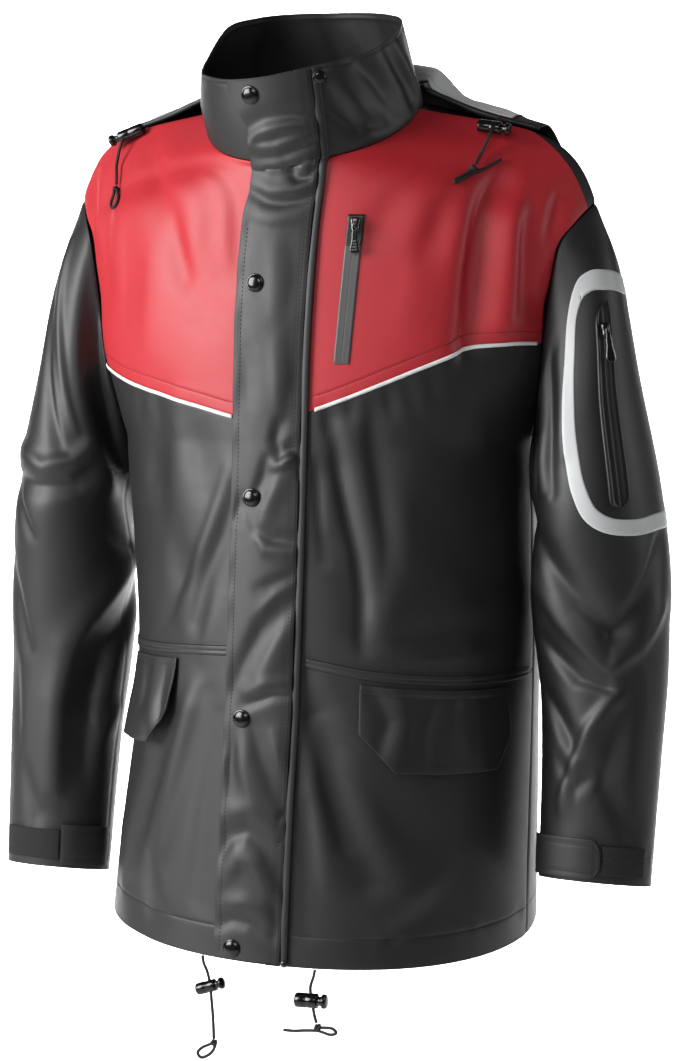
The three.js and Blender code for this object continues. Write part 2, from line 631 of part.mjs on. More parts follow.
// A solid turned about an axis through o. The profile runs from the axis out and back to it.
function frameOf(o, axis) {
  const z = unit(axis);
  const helper = Math.abs(z[2]) < 0.9 ? [0, 0, 1] : [1, 0, 0];
  const x = unit(cross(helper, z));
  return { o, x, y: cross(z, x), z };
}
function turned(profile, n, frame) {
  const points = [];
  const faces = [];
  const ring = (r, h) => {
    const from = points.length;
    for (let i = 0; i < n; i += 1) {
      const a = (i / n) * 2 * Math.PI;
      points.push(add(add(add(frame.o, frame.x, r * Math.cos(a)), frame.y, r * Math.sin(a)), frame.z, h));
    }
    return from;
  };
  const lastPoint = profile.length - 1;
  const starts = profile.map(([r, h], k) => {
    if (k === 0 || k === lastPoint) {
      points.push(add(frame.o, frame.z, h));
      return points.length - 1;
    }
    return ring(r, h);
  });
  for (let k = 0; k < lastPoint; k += 1) {
    for (let i = 0; i < n; i += 1) {
      const j = (i + 1) % n;
      if (k === 0) faces.push([starts[0], starts[1] + j, starts[1] + i]);
      else if (k === lastPoint - 1) faces.push([starts[k] + i, starts[k] + j, starts[k + 1]]);
      else {
        faces.push([starts[k] + i, starts[k] + j, starts[k + 1] + j]);
        faces.push([starts[k] + i, starts[k + 1] + j, starts[k + 1] + i]);
      }
    }
  }
  return solid(points, faces);
}
// A round cord along a smooth line through its points.
function tube(path, radius, steps, sides = 8, looped = false) {
  const curve = new THREE.CatmullRomCurve3(path.map((p) => new THREE.Vector3(...p)), looped, "centripetal");
  const count = looped ? steps : steps + 1;
  const frames = curve.computeFrenetFrames(steps, looped);
  const points = [];
  const faces = [];
  for (let i = 0; i < count; i += 1) {
    const c = curve.getPointAt(i / steps).toArray();
    const nrm = frames.normals[i].toArray();
    const bin = frames.binormals[i].toArray();
    for (let k = 0; k < sides; k += 1) {
      const a = (k / sides) * 2 * Math.PI;
      points.push(add(add(c, nrm, radius * Math.cos(a)), bin, radius * Math.sin(a)));
    }
  }
  for (let i = 0; i < steps; i += 1) {
    for (let k = 0; k < sides; k += 1) {
      const a = i * sides + k;
      const b = i * sides + ((k + 1) % sides);
      const c = ((i + 1) % count) * sides + ((k + 1) % sides);
      const d = ((i + 1) % count) * sides + k;
      faces.push([a, b, c], [a, c, d]);
    }
  }
  if (!looped) {
    const head = points.length;
    points.push(curve.getPointAt(0).toArray(), curve.getPointAt(1).toArray());
    for (let k = 0; k < sides; k += 1) {
      faces.push([head, (k + 1) % sides, k]);
      faces.push([head + 1, steps * sides + k, steps * sides + ((k + 1) % sides)]);
    }
  }
  return solid(points, faces);
}

// Snap caps: a domed cap on the flap at x, z.
const SNAP_R = 8;
const SNAP = [[0, 0], [SNAP_R - 1.2, 0], [SNAP_R, 0.8], [SNAP_R - 0.4, 1.9], [5.2, 3.1], [0, 3.6]];
const SNAPS = [
  { name: "snap_collar", x: -11, z: 14 },
  { name: "snap_chest", x: -10, z: -157 },
  { name: "snap_belly", x: -8, z: -353 },
  { name: "snap_waist", x: -10, z: -557 },
  { name: "snap_hem", x: -11, z: -770 },
];
const OVER_FLAP = LAID + ZIP_THICK + SEAM + 1 + 1.8 + SEAM + 0.2;
for (const s of SNAPS) {
  place(s.name, turned(SNAP, 12, frameOf(onFront(s.x, s.z, OVER_FLAP), frontNormal(s.x, s.z))), GLOSS);
}
place("snap_rim", turned(SNAP.map(([r, h]) => [r * 0.72, h * 0.8]), 10,
  frameOf(onFront(48, 29, LAID + 2.6 + SEAM + 0.3), frontNormal(48, 29))), GLOSS);

// Piping along the edge of each yoke, and the raised band along each waist seam.
for (const [side, word] of [[1, "left"], [-1, "right"]]) {
  const from = side > 0 ? 0.045 : 0.172;
  const along = (i) => mix(from, 0.955, i / 11);
  place("piping_" + word, laid((i, j) => {
    const o = along(i);
    return torso("front", side, o, pipeAt(side, o) - 1.7 + j * 1.7);
  }, 11, 2, 1.6, 0.25, { flip: side < 0 }), WHITE);
  place("waist_band_" + word, laid((i, j) => {
    const o = along(i);
    return torso("front", side, o, waistAt(side, o) - 4.5 + j * 4.5);
  }, 11, 2, 1.2, 0.1, { flip: side < 0 }), BLACK);
}

// Chest zip on the wearer's left: a welded tape with the slider at its top, and its pull tab.
const CHEST_ZIP = { top: [80.5, -94], bottom: [71.5, -229], half: 7.2 };
const chest = (t, across) => [
  mix(CHEST_ZIP.bottom[0], CHEST_ZIP.top[0], t) + across,
  mix(CHEST_ZIP.bottom[1], CHEST_ZIP.top[1], t),
];
place("chest_zip", laid((i, j) => front(...chest(j / 8, (i - 1) * CHEST_ZIP.half)), 2, 8, 1.2), TAPE);

// A box on a frame: sizes along x, y and z, standing on the frame's plane.
function block(frame, w, l, h, shrink = 0.8) {
  const points = [];
  for (const [k, up] of [[1, 0], [shrink, h]]) {
    for (const [sx, sy] of [[-1, -1], [1, -1], [1, 1], [-1, 1]]) {
      const p = add(frame.o, frame.x, (sx * w * k) / 2);
      points.push(add(add(p, frame.y, (sy * l * (k + 1)) / 4), frame.z, up));
    }
  }
  const faces = [[0, 2, 1], [0, 3, 2], [4, 5, 6], [4, 6, 7]];
  for (let k = 0; k < 4; k += 1) {
    const m = (k + 1) % 4;
    faces.push([k, m, m + 4], [k, m + 4, k + 4]);
  }
  return solid(points, faces);
}
function frameOn(point, normal, upward) {
  const z = unit(normal);
  const x = unit(cross(upward, z));
  return { o: point, x, y: cross(z, x), z };
}
const wasm = await Module();
wasm.setup();
const toSolid = (g) => {
  const index = g.getIndex();
  return new wasm.Manifold(new wasm.Mesh({
    numProp: 3,
    vertProperties: new Float32Array(g.getAttribute("position").array),
    triVerts: new Uint32Array(index.array),
  }));
};
const fromSolid = (m) => {
  const mesh = m.getMesh();
  const g = new THREE.BufferGeometry();
  g.setAttribute("position", new THREE.BufferAttribute(new Float32Array(mesh.vertProperties), 3));
  g.setIndex(new THREE.BufferAttribute(new Uint32Array(mesh.triVerts), 1));
  g.computeVertexNormals();
  return g;
};
// A shape drawn as [across, along] loops, thick through, on a frame: x across, y along, z through.
function plate(loops, thick, frame) {
  const drawn = new wasm.CrossSection(loops, "EvenOdd").extrude(thick);
  return drawn.transform([...frame.x, 0, ...frame.y, 0, ...frame.z, 0, ...frame.o, 1]);
}
// A zip slider with an arch along its back. The pull tab's top bar turns under that arch.
const PIVOT = 4.6;
const TAB_THICK = 1.6;
function zipSlider(seat) {
  const arch = [
    [-3.4, 2.6], [-2.2, 2.6], [-2.2, 6], [2.2, 6], [2.2, 2.6], [3.4, 2.6], [3.4, 6.8], [3, 7.2],
    [-3, 7.2], [-3.4, 6.8],
  ];
  const upright = { o: add(seat.o, seat.x, -0.8), x: seat.y, y: seat.z, z: seat.x };
  return fromSolid(toSolid(block(seat, 8, 13, 3.2)).add(plate([arch], 1.6, upright)));
}
function pullTab(seat, long, wide) {
  const w = wide / 2;
  const outer = [
    [-2.3, 0.8], [-2.5, -5.6], [-0.64 * w, -0.5 * long], [-w, -0.86 * long], [-0.6 * w, -long],
    [0.6 * w, -long], [w, -0.86 * long], [0.64 * w, -0.5 * long], [2.5, -5.6], [2.3, 0.8],
  ];
  const window = [[-1.3, -0.8], [-1.3, -4.8], [1.3, -4.8], [1.3, -0.8]];
  const o = add(seat.o, seat.z, PIVOT - TAB_THICK / 2);
  return fromSolid(plate([outer, window], TAB_THICK, { ...seat, o }));
}
{
  const [x, z] = chest(0.93, 0);
  const seat = frameOf(onFront(x, z, LAID + 1.2 + SEAM + 0.3), frontNormal(x, z));
  place("chest_zip_slider", zipSlider(seat), GLOSS);
  place("chest_zip_pull", pullTab(seat, 26, 7), GLOSS);
}

// Pocket flaps, hung from just under the waist seam. kick is how far the lower edge stands off.
const POCKET = {
  left: { from: 0.22, to: 0.8, drop: 76, corner: 31, kick: 3 },
  right: { from: 0.375, to: 0.68, drop: 80, corner: 32, kick: 15 },
};
for (const [side, word] of [[1, "left"], [-1, "right"]]) {
  const f = POCKET[word];
  place("pocket_flap_" + word, laid((i, j) => {
    const o = mix(f.from, f.to, i / 10);
    const cut = f.corner * Math.max(clamp(1 - i / 2, 0, 1), clamp((i - 8.6) / 1.4, 0, 1));
    const down = (f.drop - cut) * (j / 5);
    const p = torso("front", side, o, waistAt(side, o) - 9 - down);
    const r = Math.hypot(p[0], p[1] - 35);
    const k = f.kick * Math.max(0, down / f.drop) ** 1.6;
    return [p[0] + (p[0] / r) * k, p[1] + ((p[1] - 35) / r) * k, p[2]];
  }, 10, 5, 2.2, 0.2, { flip: side > 0 }), BLACK);
}

// A patch on a sleeve between two turns and two distances down.
function cuffPiece(side, fromTurn, toTurn, high, low, ni, thick, under) {
  const s = (i, j) => sleeve(side, mix(fromTurn, toTurn, i / ni), mix(high, low, j / 2));
  return laid(s, ni, 2, thick, under, { flip: side < 0 });
}
const CUFF = {
  left: { tab: [0.2, 0.45], hook: [0.06, 0.195] },
  right: { tab: [0.325, 0.5], hook: [0.12, 0.32] },
};
for (const [side, word] of [[1, "left"], [-1, "right"]]) {
  const c = CUFF[word];
  place("cuff_tab_" + word, cuffPiece(side, c.tab[0], c.tab[1], 0.945, 0.994, 6, 2, 0.2), BLACK);
  place("cuff_hook_" + word, cuffPiece(side, c.hook[0], c.hook[1], 0.952, 0.989, 5, 1.2, 0.2), HOOK);
}

// The light band on the left sleeve runs as a rounded frame round the sleeve pocket.
const BAND = [
  { turn: 0.165, down: 0.075 },
  { turn: 0.205, down: 0.088 },
  { turn: 0.23, down: 0.14 },
  { turn: 0.236, down: 0.21 },
  { turn: 0.238, down: 0.28 },
  { turn: 0.235, down: 0.335 },
  { turn: 0.215, down: 0.385 },
  { turn: 0.175, down: 0.413 },
  { turn: 0.11, down: 0.428 },
  { turn: 0.04, down: 0.43 },
  { turn: -0.03, down: 0.43 },
  { turn: -0.1, down: 0.42 },
  { turn: -0.14, down: 0.385 },
  { turn: -0.155, down: 0.33 },
  { turn: -0.155, down: 0.24 },
  { turn: -0.14, down: 0.18 },
  { turn: -0.105, down: 0.145 },
  { turn: -0.05, down: 0.13 },
  { turn: 0.02, down: 0.125 },
  { turn: 0.08, down: 0.107 },
  { turn: 0.125, down: 0.085 },
];
const BAND_WIDE = 16;
function loopAt(t) {
  const n = BAND.length;
  const k = ((Math.floor(t) % n) + n) % n;
  const p = [-1, 0, 1, 2].map((d) => BAND[(k + d + n) % n]);
  const f = t - Math.floor(t);
  const blend = (key) => {
    const [a, b, c, d] = p.map((r) => r[key]);
    return b + 0.5 * f * (c - a + f * (2 * a - 5 * b + 4 * c - d + f * (3 * (b - c) + d - a)));
  };
  return [blend("turn"), blend("down")];
}
const BAND_STEPS = 32;
place("sleeve_band", laid((i, j) => {
  const t = (i * BAND.length) / BAND_STEPS;
  const a = loopAt(t);
  const b = loopAt(t + 0.02);
  const dx = (b[0] - a[0]) * SLEEVE_ROUND;
  const dy = (b[1] - a[1]) * SLEEVE_LONG;
  const l = Math.hypot(dx, dy) || 1;
  const across = (j - 1) * (BAND_WIDE / 2);
  return sleeve(1, a[0] - (dy / l) * (across / SLEEVE_ROUND), a[1] + (dx / l) * (across / SLEEVE_LONG));
}, BAND_STEPS, 2, 1, 0.2, { loop: true }), REFLECT);

// The sleeve pocket's zip: a welded panel with a slider at the top and its pull tab.
const SLEEVE_ZIP = { turn: [0.115, 0.14], down: [0.125, 0.39], half: 12 };
place("sleeve_zip", laid((i, j) => {
  const t = j / 9;
  const round = Math.sqrt(Math.max(0.04, 1 - Math.max(0, Math.abs(t - 0.5) * 2 - 0.86) ** 2 * 40));
  const aside = ((i - 2) / 2) * (SLEEVE_ZIP.half / SLEEVE_ROUND) * round;
  return sleeve(1, mix(...SLEEVE_ZIP.turn, t) + aside, mix(...SLEEVE_ZIP.down, t));
}, 4, 9, 1.2, 0.2), TAPE);
{
  const t = 0.12;
  const turn = mix(...SLEEVE_ZIP.turn, t);
  const down = mix(...SLEEVE_ZIP.down, t);
  const p = sleeve(1, turn, down);
  const n = unit(cross(sub(sleeve(1, turn + 0.004, down), p), sub(sleeve(1, turn, down + 0.004), p)));
  const up = unit(sub(sleeve(1, turn, down - 0.02), p));
  const seat = frameOn(add(p, n, LAID + 0.2 + 1.2 + SEAM + 0.5), n, up);
  place("sleeve_zip_slider", zipSlider(seat), GLOSS);
  place("sleeve_zip_pull", pullTab(seat, 30, 8), GLOSS);
}

// The hood hangs open behind: from its face edge along the shoulders, over a crest, down the back.
const HOOD = [
  { a: 0, edge: [0, 104, 26], crest: [0, 117, 46], back: [0, 194, -60], low: [0, 222, -205] },
  { a: 0.25, edge: [57, 94, 26], crest: [60, 106, 44], back: [66, 190, -60], low: [74, 219, -196] },
  { a: 0.45, edge: [94, 58, 27], crest: [96, 76, 40], back: [116, 175, -58], low: [134, 194, -168] },
  { a: 0.6, edge: [112, 25, 18], crest: [117, 58, 20], back: [152, 146, -52], low: [172, 158, -128] },
  { a: 0.8, edge: [160, 28, -1], crest: [163, 50, 3], back: [188, 114, -44], low: [203, 128, -94] },
  { a: 1, edge: [213, 42, -15], crest: [216, 51, -13], back: [224, 74, -34], low: [228, 92, -58] },
];
function hood(a, b) {
  const side = a < 0 ? -1 : 1;
  const spots = [["edge", 0], ["crest", 0.16], ["back", 0.6], ["low", 1]].map(([key, at]) => ({
    at,
    p: [0, 1, 2].map((k) => column(HOOD, "a", (r) => r[key][k], Math.abs(a)) * (k === 0 ? side : 1)),
  }));
  return [0, 1, 2].map((k) => column(spots, "at", (r) => r.p[k], b));
}
const HOOD_B = [0, 0.08, 0.16, 0.3, 0.45, 0.6, 0.8, 1];
const hoodCloth = (i, j) => hood((i - 10) / 10, stepped(HOOD_B, j));
place("hood", wall(hoodCloth, 20, HOOD_B.length - 1, { thick: 2.4 }), BLACK);
const PANEL_B = [0.02, 0.08, 0.16, 0.3, 0.45, 0.6];
const panelCloth = (i, j) => hood((i - 9) / 10, stepped(PANEL_B, j));
place("hood_panel", wall(panelCloth, 18, PANEL_B.length - 1, { thick: 1, lift: 2.8 + SEAM }), GREY);
{
  const path = [];
  for (let i = 0; i <= 20; i += 1) {
    const a = (i - 10) / 10;
    const p = hood(a, 0);
    const q = hood(a, 0.05);
    path.push(add(p, unit(sub(p, q)), 5.6));
  }
  place("hood_edge", tube(path, 2.6, 30, 6), BLACK);
}

// Cord locks: a barrel across the cord with a sprung plunger at one end and a hole for the cord.
const CORD_R = 1.3;
// The profile is read along the barrel's axis: a plain end, a waist, and the plunger's flange.
function lockBody(mid, axis, long, r, cordWay) {
  const h = long / 2;
  const profile = [
    [0, -h], [r * 0.8, -h], [r, -h + 1.2], [r, h * 0.42], [r * 0.66, h * 0.46], [r * 0.66, h * 0.7],
    [r * 0.95, h * 0.74], [r * 0.95, h - 0.8], [r * 0.7, h], [0, h],
  ];
  const body = toSolid(turned(profile, 10, frameOf(mid, axis)));
  const way = unit(cordWay);
  const bore = [[0, -r * 2], [CORD_R + 1.1, -r * 2], [CORD_R + 1.1, r * 2], [0, r * 2]];
  const hole = toSolid(turned(bore, 10, frameOf(mid, way)));
  return fromSolid(body.subtract(hole));
}
// A knot with a small loop of cord below it, in one piece.
function knot(at, r, loopPath) {
  const round = [[0, -r], [r * 0.75, -r * 0.66], [r, 0], [r * 0.75, r * 0.66], [0, r]];
  const ball = toSolid(turned(round, 10, frameOf(at, [0.2, 0.1, 1])));
  const loop = toSolid(tube(loopPath, CORD_R, 12, 6));
  return fromSolid(ball.add(loop));
}

const CORDS = [
  {
    name: "hem_right",
    cord: [
      [-46, -161.9, -783.9], [-45.5, -160.6, -791], [-42.5, -159, -800], [-39.5, -159, -813.5],
      [-38.5, -159, -826], [-37, -159, -845], [-36.3, -159, -864.6],
    ],
    lock: { mid: [-39.5, -159, -813.5], axis: [30, 0, 11], long: 29, r: 4.6, way: [0.8, 0, -7] },
    knot: { at: [-36.3, -159, -868.5], r: 3.4 },
    loop: [
      [-38, -159, -869.4], [-42.5, -160, -871.6], [-48, -161, -874.6], [-52, -161.4, -879.6],
      [-49, -161.2, -884], [-43, -160.2, -882], [-37.6, -159.2, -877], [-34.8, -159, -870.6],
    ],
  },
  {
    name: "hem_left",
    cord: [
      [67.4, -160.9, -784.3], [66, -160.9, -791], [63, -161, -801], [63.5, -161, -809], [65, -161, -817],
      [67, -161, -828], [69, -161, -834.5],
    ],
    lock: { mid: [63.8, -161, -814], axis: [30, 0, 1.6], long: 31, r: 5.6, way: [1, 0, -8] },
    knot: { at: [70.4, -161, -838.6], r: 3.6 },
    loop: [
      [70, -161, -839.5], [77, -162, -838], [86, -163, -837.6], [89.5, -163, -841], [84, -163, -843.6],
      [72, -162, -842], [58, -161, -843.5], [46, -161, -845.5], [36, -161, -845.8],
    ],
  },
];
// The hood's cords come out of its face edge, through a lock, and hang on the yokes.
CORDS.push(
  {
    name: "hood_right",
    cord: [
      [-198.6, 30, -12.6], [-202, 19, -17], [-204, 8, -26], onFront(-204, -52, 6),
      onFront(-200.5, -62, 5.5), onFront(-199, -70, 4.8),
    ],
    lock: { mid: [-202.5, 14, -20.5], axis: [-39, -2, -14.5], long: 38, r: 4.6, way: [-4, -14, -10] },
    knot: { at: onFront(-198.6, -74.5, 4.8), r: 3.4 },
    loop: [
      onFront(-200.4, -75.6, 4.6), onFront(-203, -82, 3.2), onFront(-203, -88, 3.2),
      onFront(-198, -92.5, 3.2), onFront(-192.5, -89, 3.2), onFront(-193, -82, 3.2),
      onFront(-196.8, -75.8, 4.6),
    ],
  },
  {
    name: "hood_left",
    cord: [
      [178, 23.5, -5.5], [180, 15, -6.5], [182.2, 6.9, -10.2], [181.6, -1.5, -15.6], [181, -9.9, -21],
      onFront(172, -42, 5.5), onFront(169.5, -50, 5),
    ],
    lock: { mid: [181.6, -1.5, -15.6], axis: [30, 1, -4], long: 31, r: 4.8, way: [-1, -14, -9] },
    knot: { at: onFront(168, -55.2, 5), r: 3.6 },
    loop: [
      onFront(167.6, -56.5, 4.6), onFront(162, -62, 3.4), onFront(157, -66, 3.2),
      onFront(161, -68.5, 3.2), onFront(170, -60.5, 3.2), onFront(179, -53, 3.2),
      onFront(189, -46, 3.2),
    ],
  },
);
for (const c of CORDS) {
  place(c.name + "_cord", tube(c.cord, CORD_R, 16, 8), CORD);
  place(c.name + "_lock", lockBody(c.lock.mid, c.lock.axis, c.lock.long, c.lock.r, c.lock.way), GLOSS);
  place(c.name + "_knot", knot(c.knot.at, c.knot.r, c.loop), CORD);
}
export default group;
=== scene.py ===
# %% [markdown]
# # A raincoat, filled out as worn
#
# This notebook dresses a hip-length raincoat. The real coat is cut from knitted cloth with a smooth
# rubbery coating: red on the chest, black below, on the sleeves and on the collar. It stands as it
# does on a wearer, so each panel is an open, thin sheet with air behind it.
#
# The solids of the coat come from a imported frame. They say where everything is, and they stay where
# they are. Soft pieces get a thin, finely creased sheet in their place, and small hard pieces get
# rounder shapes and better finishes. All sizes below are in millimetres until a mesh is made.

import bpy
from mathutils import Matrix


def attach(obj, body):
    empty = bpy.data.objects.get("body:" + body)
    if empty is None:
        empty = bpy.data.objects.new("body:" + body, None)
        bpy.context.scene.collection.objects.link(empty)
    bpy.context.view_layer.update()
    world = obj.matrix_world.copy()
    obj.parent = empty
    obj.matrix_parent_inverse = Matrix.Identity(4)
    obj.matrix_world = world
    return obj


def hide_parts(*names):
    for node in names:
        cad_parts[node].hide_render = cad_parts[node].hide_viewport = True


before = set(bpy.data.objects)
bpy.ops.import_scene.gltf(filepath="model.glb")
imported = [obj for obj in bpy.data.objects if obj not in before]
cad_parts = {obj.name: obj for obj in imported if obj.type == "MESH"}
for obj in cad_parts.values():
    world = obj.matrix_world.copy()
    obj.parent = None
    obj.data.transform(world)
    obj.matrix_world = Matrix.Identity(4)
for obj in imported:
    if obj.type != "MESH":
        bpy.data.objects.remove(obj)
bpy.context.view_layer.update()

import math

import bmesh
import bpy
import numpy as np
from mathutils import Vector

# %% [markdown]
# ## Camera
#
# The photograph was taken from a little to the right of the coat, about level with its neck, looking
# slightly down with a long lens. A long lens keeps the near sleeve from looking too large. The view
# is turned by a third of a degree to put the coat left of the middle, so no lens shift is needed.

# %% Camera
aside, down, turned_in = math.radians(22), math.radians(8.4), math.radians(0.37)
ahead = Vector((-math.sin(aside), math.cos(aside), 0))
rightward = Vector((math.cos(aside), math.sin(aside), 0))
level = ahead * math.cos(turned_in) + rightward * math.sin(turned_in)
look = level * math.cos(down) - Vector((0, 0, math.sin(down)))
camera = bpy.data.objects.new("camera", bpy.data.cameras.new("camera"))
camera.location = Vector((0, 0.030, -0.050)) - ahead * 2.4
camera.rotation_euler = look.to_track_quat("-Z", "Y").to_euler()
camera.data.lens, camera.data.sensor_width = 83.94, 36
camera.data.clip_end = 60
bpy.context.scene.collection.objects.link(camera)
bpy.context.scene.camera = camera
print("camera stands at", tuple(round(x, 3) for x in camera.location))

# %% [markdown]
# ## Small tools for lines and surfaces
#
# A garment is drawn from a few measured stations with smooth curves between them. One function reads
# a column of such a table. It never swings past the measured values, so a waist stays where it was
# measured. It works on whole grids of points at once, which keeps dense meshes quick to make.

# %% Curve tools
def clamp(x, low=0.0, high=1.0):
    return np.clip(x, low, high)


def mix(a, b, t):
    return a + (b - a) * t


def unit(v):
    return v / np.maximum(np.linalg.norm(v, axis=-1, keepdims=True), 1e-12)


def point(*parts):
    """Several coordinates, each a number or a grid, as one grid of points."""
    return np.stack(np.broadcast_arrays(*[np.asarray(p, float) for p in parts]), axis=-1)


def column(stations, rows, x, corner=None):
    """One column of a table at x, smooth between its rows, with a kink at the row named corner."""
    x, s, last = np.asarray(x, float), np.asarray(stations, float), len(stations) - 1
    r = np.stack(np.broadcast_arrays(*[np.asarray(row, float) for row in rows]))
    rate = np.diff(r, axis=0) / np.diff(s).reshape((-1,) + (1,) * (r.ndim - 1))
    level = np.where(rate[:-1] * rate[1:] <= 0, 0, (rate[:-1] + rate[1:]) / 2)
    arriving = np.concatenate([rate[:1], level, rate[-1:]])
    leaving = arriving.copy()
    if corner is not None and 0 < stations.index(corner) < last:
        k = stations.index(corner)
        arriving[k], leaving[k] = rate[k - 1], rate[k]
    k = np.clip(np.searchsorted(s, x) - 1, 0, last - 1)
    span = s[k + 1] - s[k]
    t = clamp((x - s[k]) / span, -0.1, 1.1)

    def pick(table, k):
        if r.ndim == 1:
            return table[k]
        wide = np.broadcast_shapes(k.shape, r.shape[1:])
        return np.take_along_axis(np.broadcast_to(table, (len(table), *wide)), np.broadcast_to(k, wide)[None], 0)[0]

    return ((2 * t**3 - 3 * t**2 + 1) * pick(r, k) + (t**3 - 2 * t**2 + t) * span * pick(leaving, k)
            + (3 * t**2 - 2 * t**3) * pick(r, k + 1) + (t**3 - t**2) * span * pick(arriving, k + 1))


def places(low, high, gap, *fine):
    """Places from low to high about gap apart, with closer ones at both ends and round each of fine."""
    spots = list(np.linspace(low, high, max(2, round((high - low) / gap) + 1)))
    for edge in (low, high, *fine):
        spots += [edge + d for d in (-2.4, -1.2, -0.5, 0, 0.5, 1.2, 2.4) if low <= edge + d <= high]
    spots = np.unique(np.round(spots, 3))
    return spots[np.concatenate([[True], np.diff(spots) > 0.25])]


def smooth_line(points, steps, closed=False):
    """A smooth line through points, even in length, as a grid of points."""
    p = np.asarray(points, float)
    if closed:
        p = np.vstack([p[-1], p, p[:2]])
    else:
        p = np.vstack([2 * p[0] - p[1], p, 2 * p[-1] - p[-2]])
    run = []
    for k in range(1, len(p) - 2):
        a, b, c, d = p[k - 1:k + 3]
        ta, tb, tc = (max(np.linalg.norm(q - r), 1e-6) ** 0.5 for q, r in ((b, a), (c, b), (d, c)))
        m1 = ((b - a) / ta - (c - a) / (ta + tb) + (c - b) / tb) * tb
        m2 = ((c - b) / tb - (d - b) / (tb + tc) + (d - c) / tc) * tb
        t = np.linspace(0, 1, 24, endpoint=False)[:, None]
        run.append((2 * t**3 - 3 * t**2 + 1) * b + (t**3 - 2 * t**2 + t) * m1
                   + (3 * t**2 - 2 * t**3) * c + (t**3 - t**2) * m2)
    run = np.vstack(run + [p[-2][None]])
    far = np.concatenate([[0], np.cumsum(np.linalg.norm(np.diff(run, axis=0), axis=1))])
    at = np.linspace(0, far[-1], steps + 1)
    return np.stack([np.interp(at, far, run[:, k]) for k in range(3)], axis=1)


print("a column read half way:", column([0, 1, 2], [0, 1, 1], 0.5))

# %% [markdown]
# ## The form of the coat
#
# The torso is a stack of plan curves, from the hem up to the shoulder seam. Each one starts at the
# line where the two fronts meet (or at the middle of the back) and ends at the side seam. Above the
# armpit the side seam parts and becomes the front and back of the armhole. The front is cut so that
# it closes left of the middle, under a storm flap.

# %% Torso
TORSO = {
    "at": [0, 90, 270, 378, 478, 545, 630, 716, 785, 850],
    "front_y": [-168, -158, -139, -128, -119, -114, -107, -98, -98, -98],
    "front_z": [-783, -693, -512, -404, -304, -238, -150, -48, -48, -48],
    "back_y": [226, 220, 206, 200, 194, 187, 166, 98, 98, 98],
    "back_z": [-775, -688, -512, -408, -308, -230, -124, 18, 18, 18],
    "front_edge_x": [211, 208, 201, 203, 207, 224, 230, 240, 251, 266],
    "front_edge_y": [30, 32, 36, 40, 48, 12, 8, 10, 21, 44],
    "front_edge_z": [-779, -690, -518, -412, -318, -245, -175, -124, -104, -84],
    "back_edge_x": [211, 208, 201, 203, 207, 222, 232, 246, 259, 266],
    "back_edge_y": [30, 32, 36, 40, 48, 92, 90, 80, 66, 44],
    "back_edge_z": [-779, -690, -518, -412, -318, -245, -172, -118, -94, -84],
    "front_turn": [90, 90, 90, 90, 90, 70, 62, 48, 30, 10],
    "back_turn": [-90, -90, -90, -90, -90, -72, -60, -40, -14, 10],
    "front_lean": [0, 0, 0, 0, 0, 0, 0, 0.6, 0.45, 0.36],
    "back_lean": [0, 0, 0, 0, 0, 0, 0, 0.4, 0.4, 0.36],
    "front_drop": [1.6, 1.6, 1.6, 1.6, 1.7, 1.8, 2.0, 1.6, 3, 5],
    "back_drop": [1.6, 1.6, 1.6, 1.6, 1.6, 1.6, 1.6, 2.2, 3, 5],
    "sway": [0, 0.02, 0.06, 0.03, 0, 0, 0, 0, 0, 0],
    "round": [0.6, 0.58, 0.56, 0.56, 0.56, 0.55, 0.52, 0.48, 0.42, 0.36],
}
JOINT_X, JOINT_SLOPE, LOW_SIDE = 35, 0.09, 10
AXIS_Y = 35
ARMPIT, NECK, RIDGE, WAIST = 478, 716, 850, 270
JOINT_ANGLE, SHOULDER_ANGLE = math.asin((JOINT_X - 5) / 103), math.radians(93)


def neckline(angle):
    c = np.cos(angle)
    z = np.where(c > 0, mix(1, -48, np.maximum(c, 0) ** 0.85), mix(1, 18, c * c))
    return point(5 + 103 * np.sin(angle), -98 * c, z)


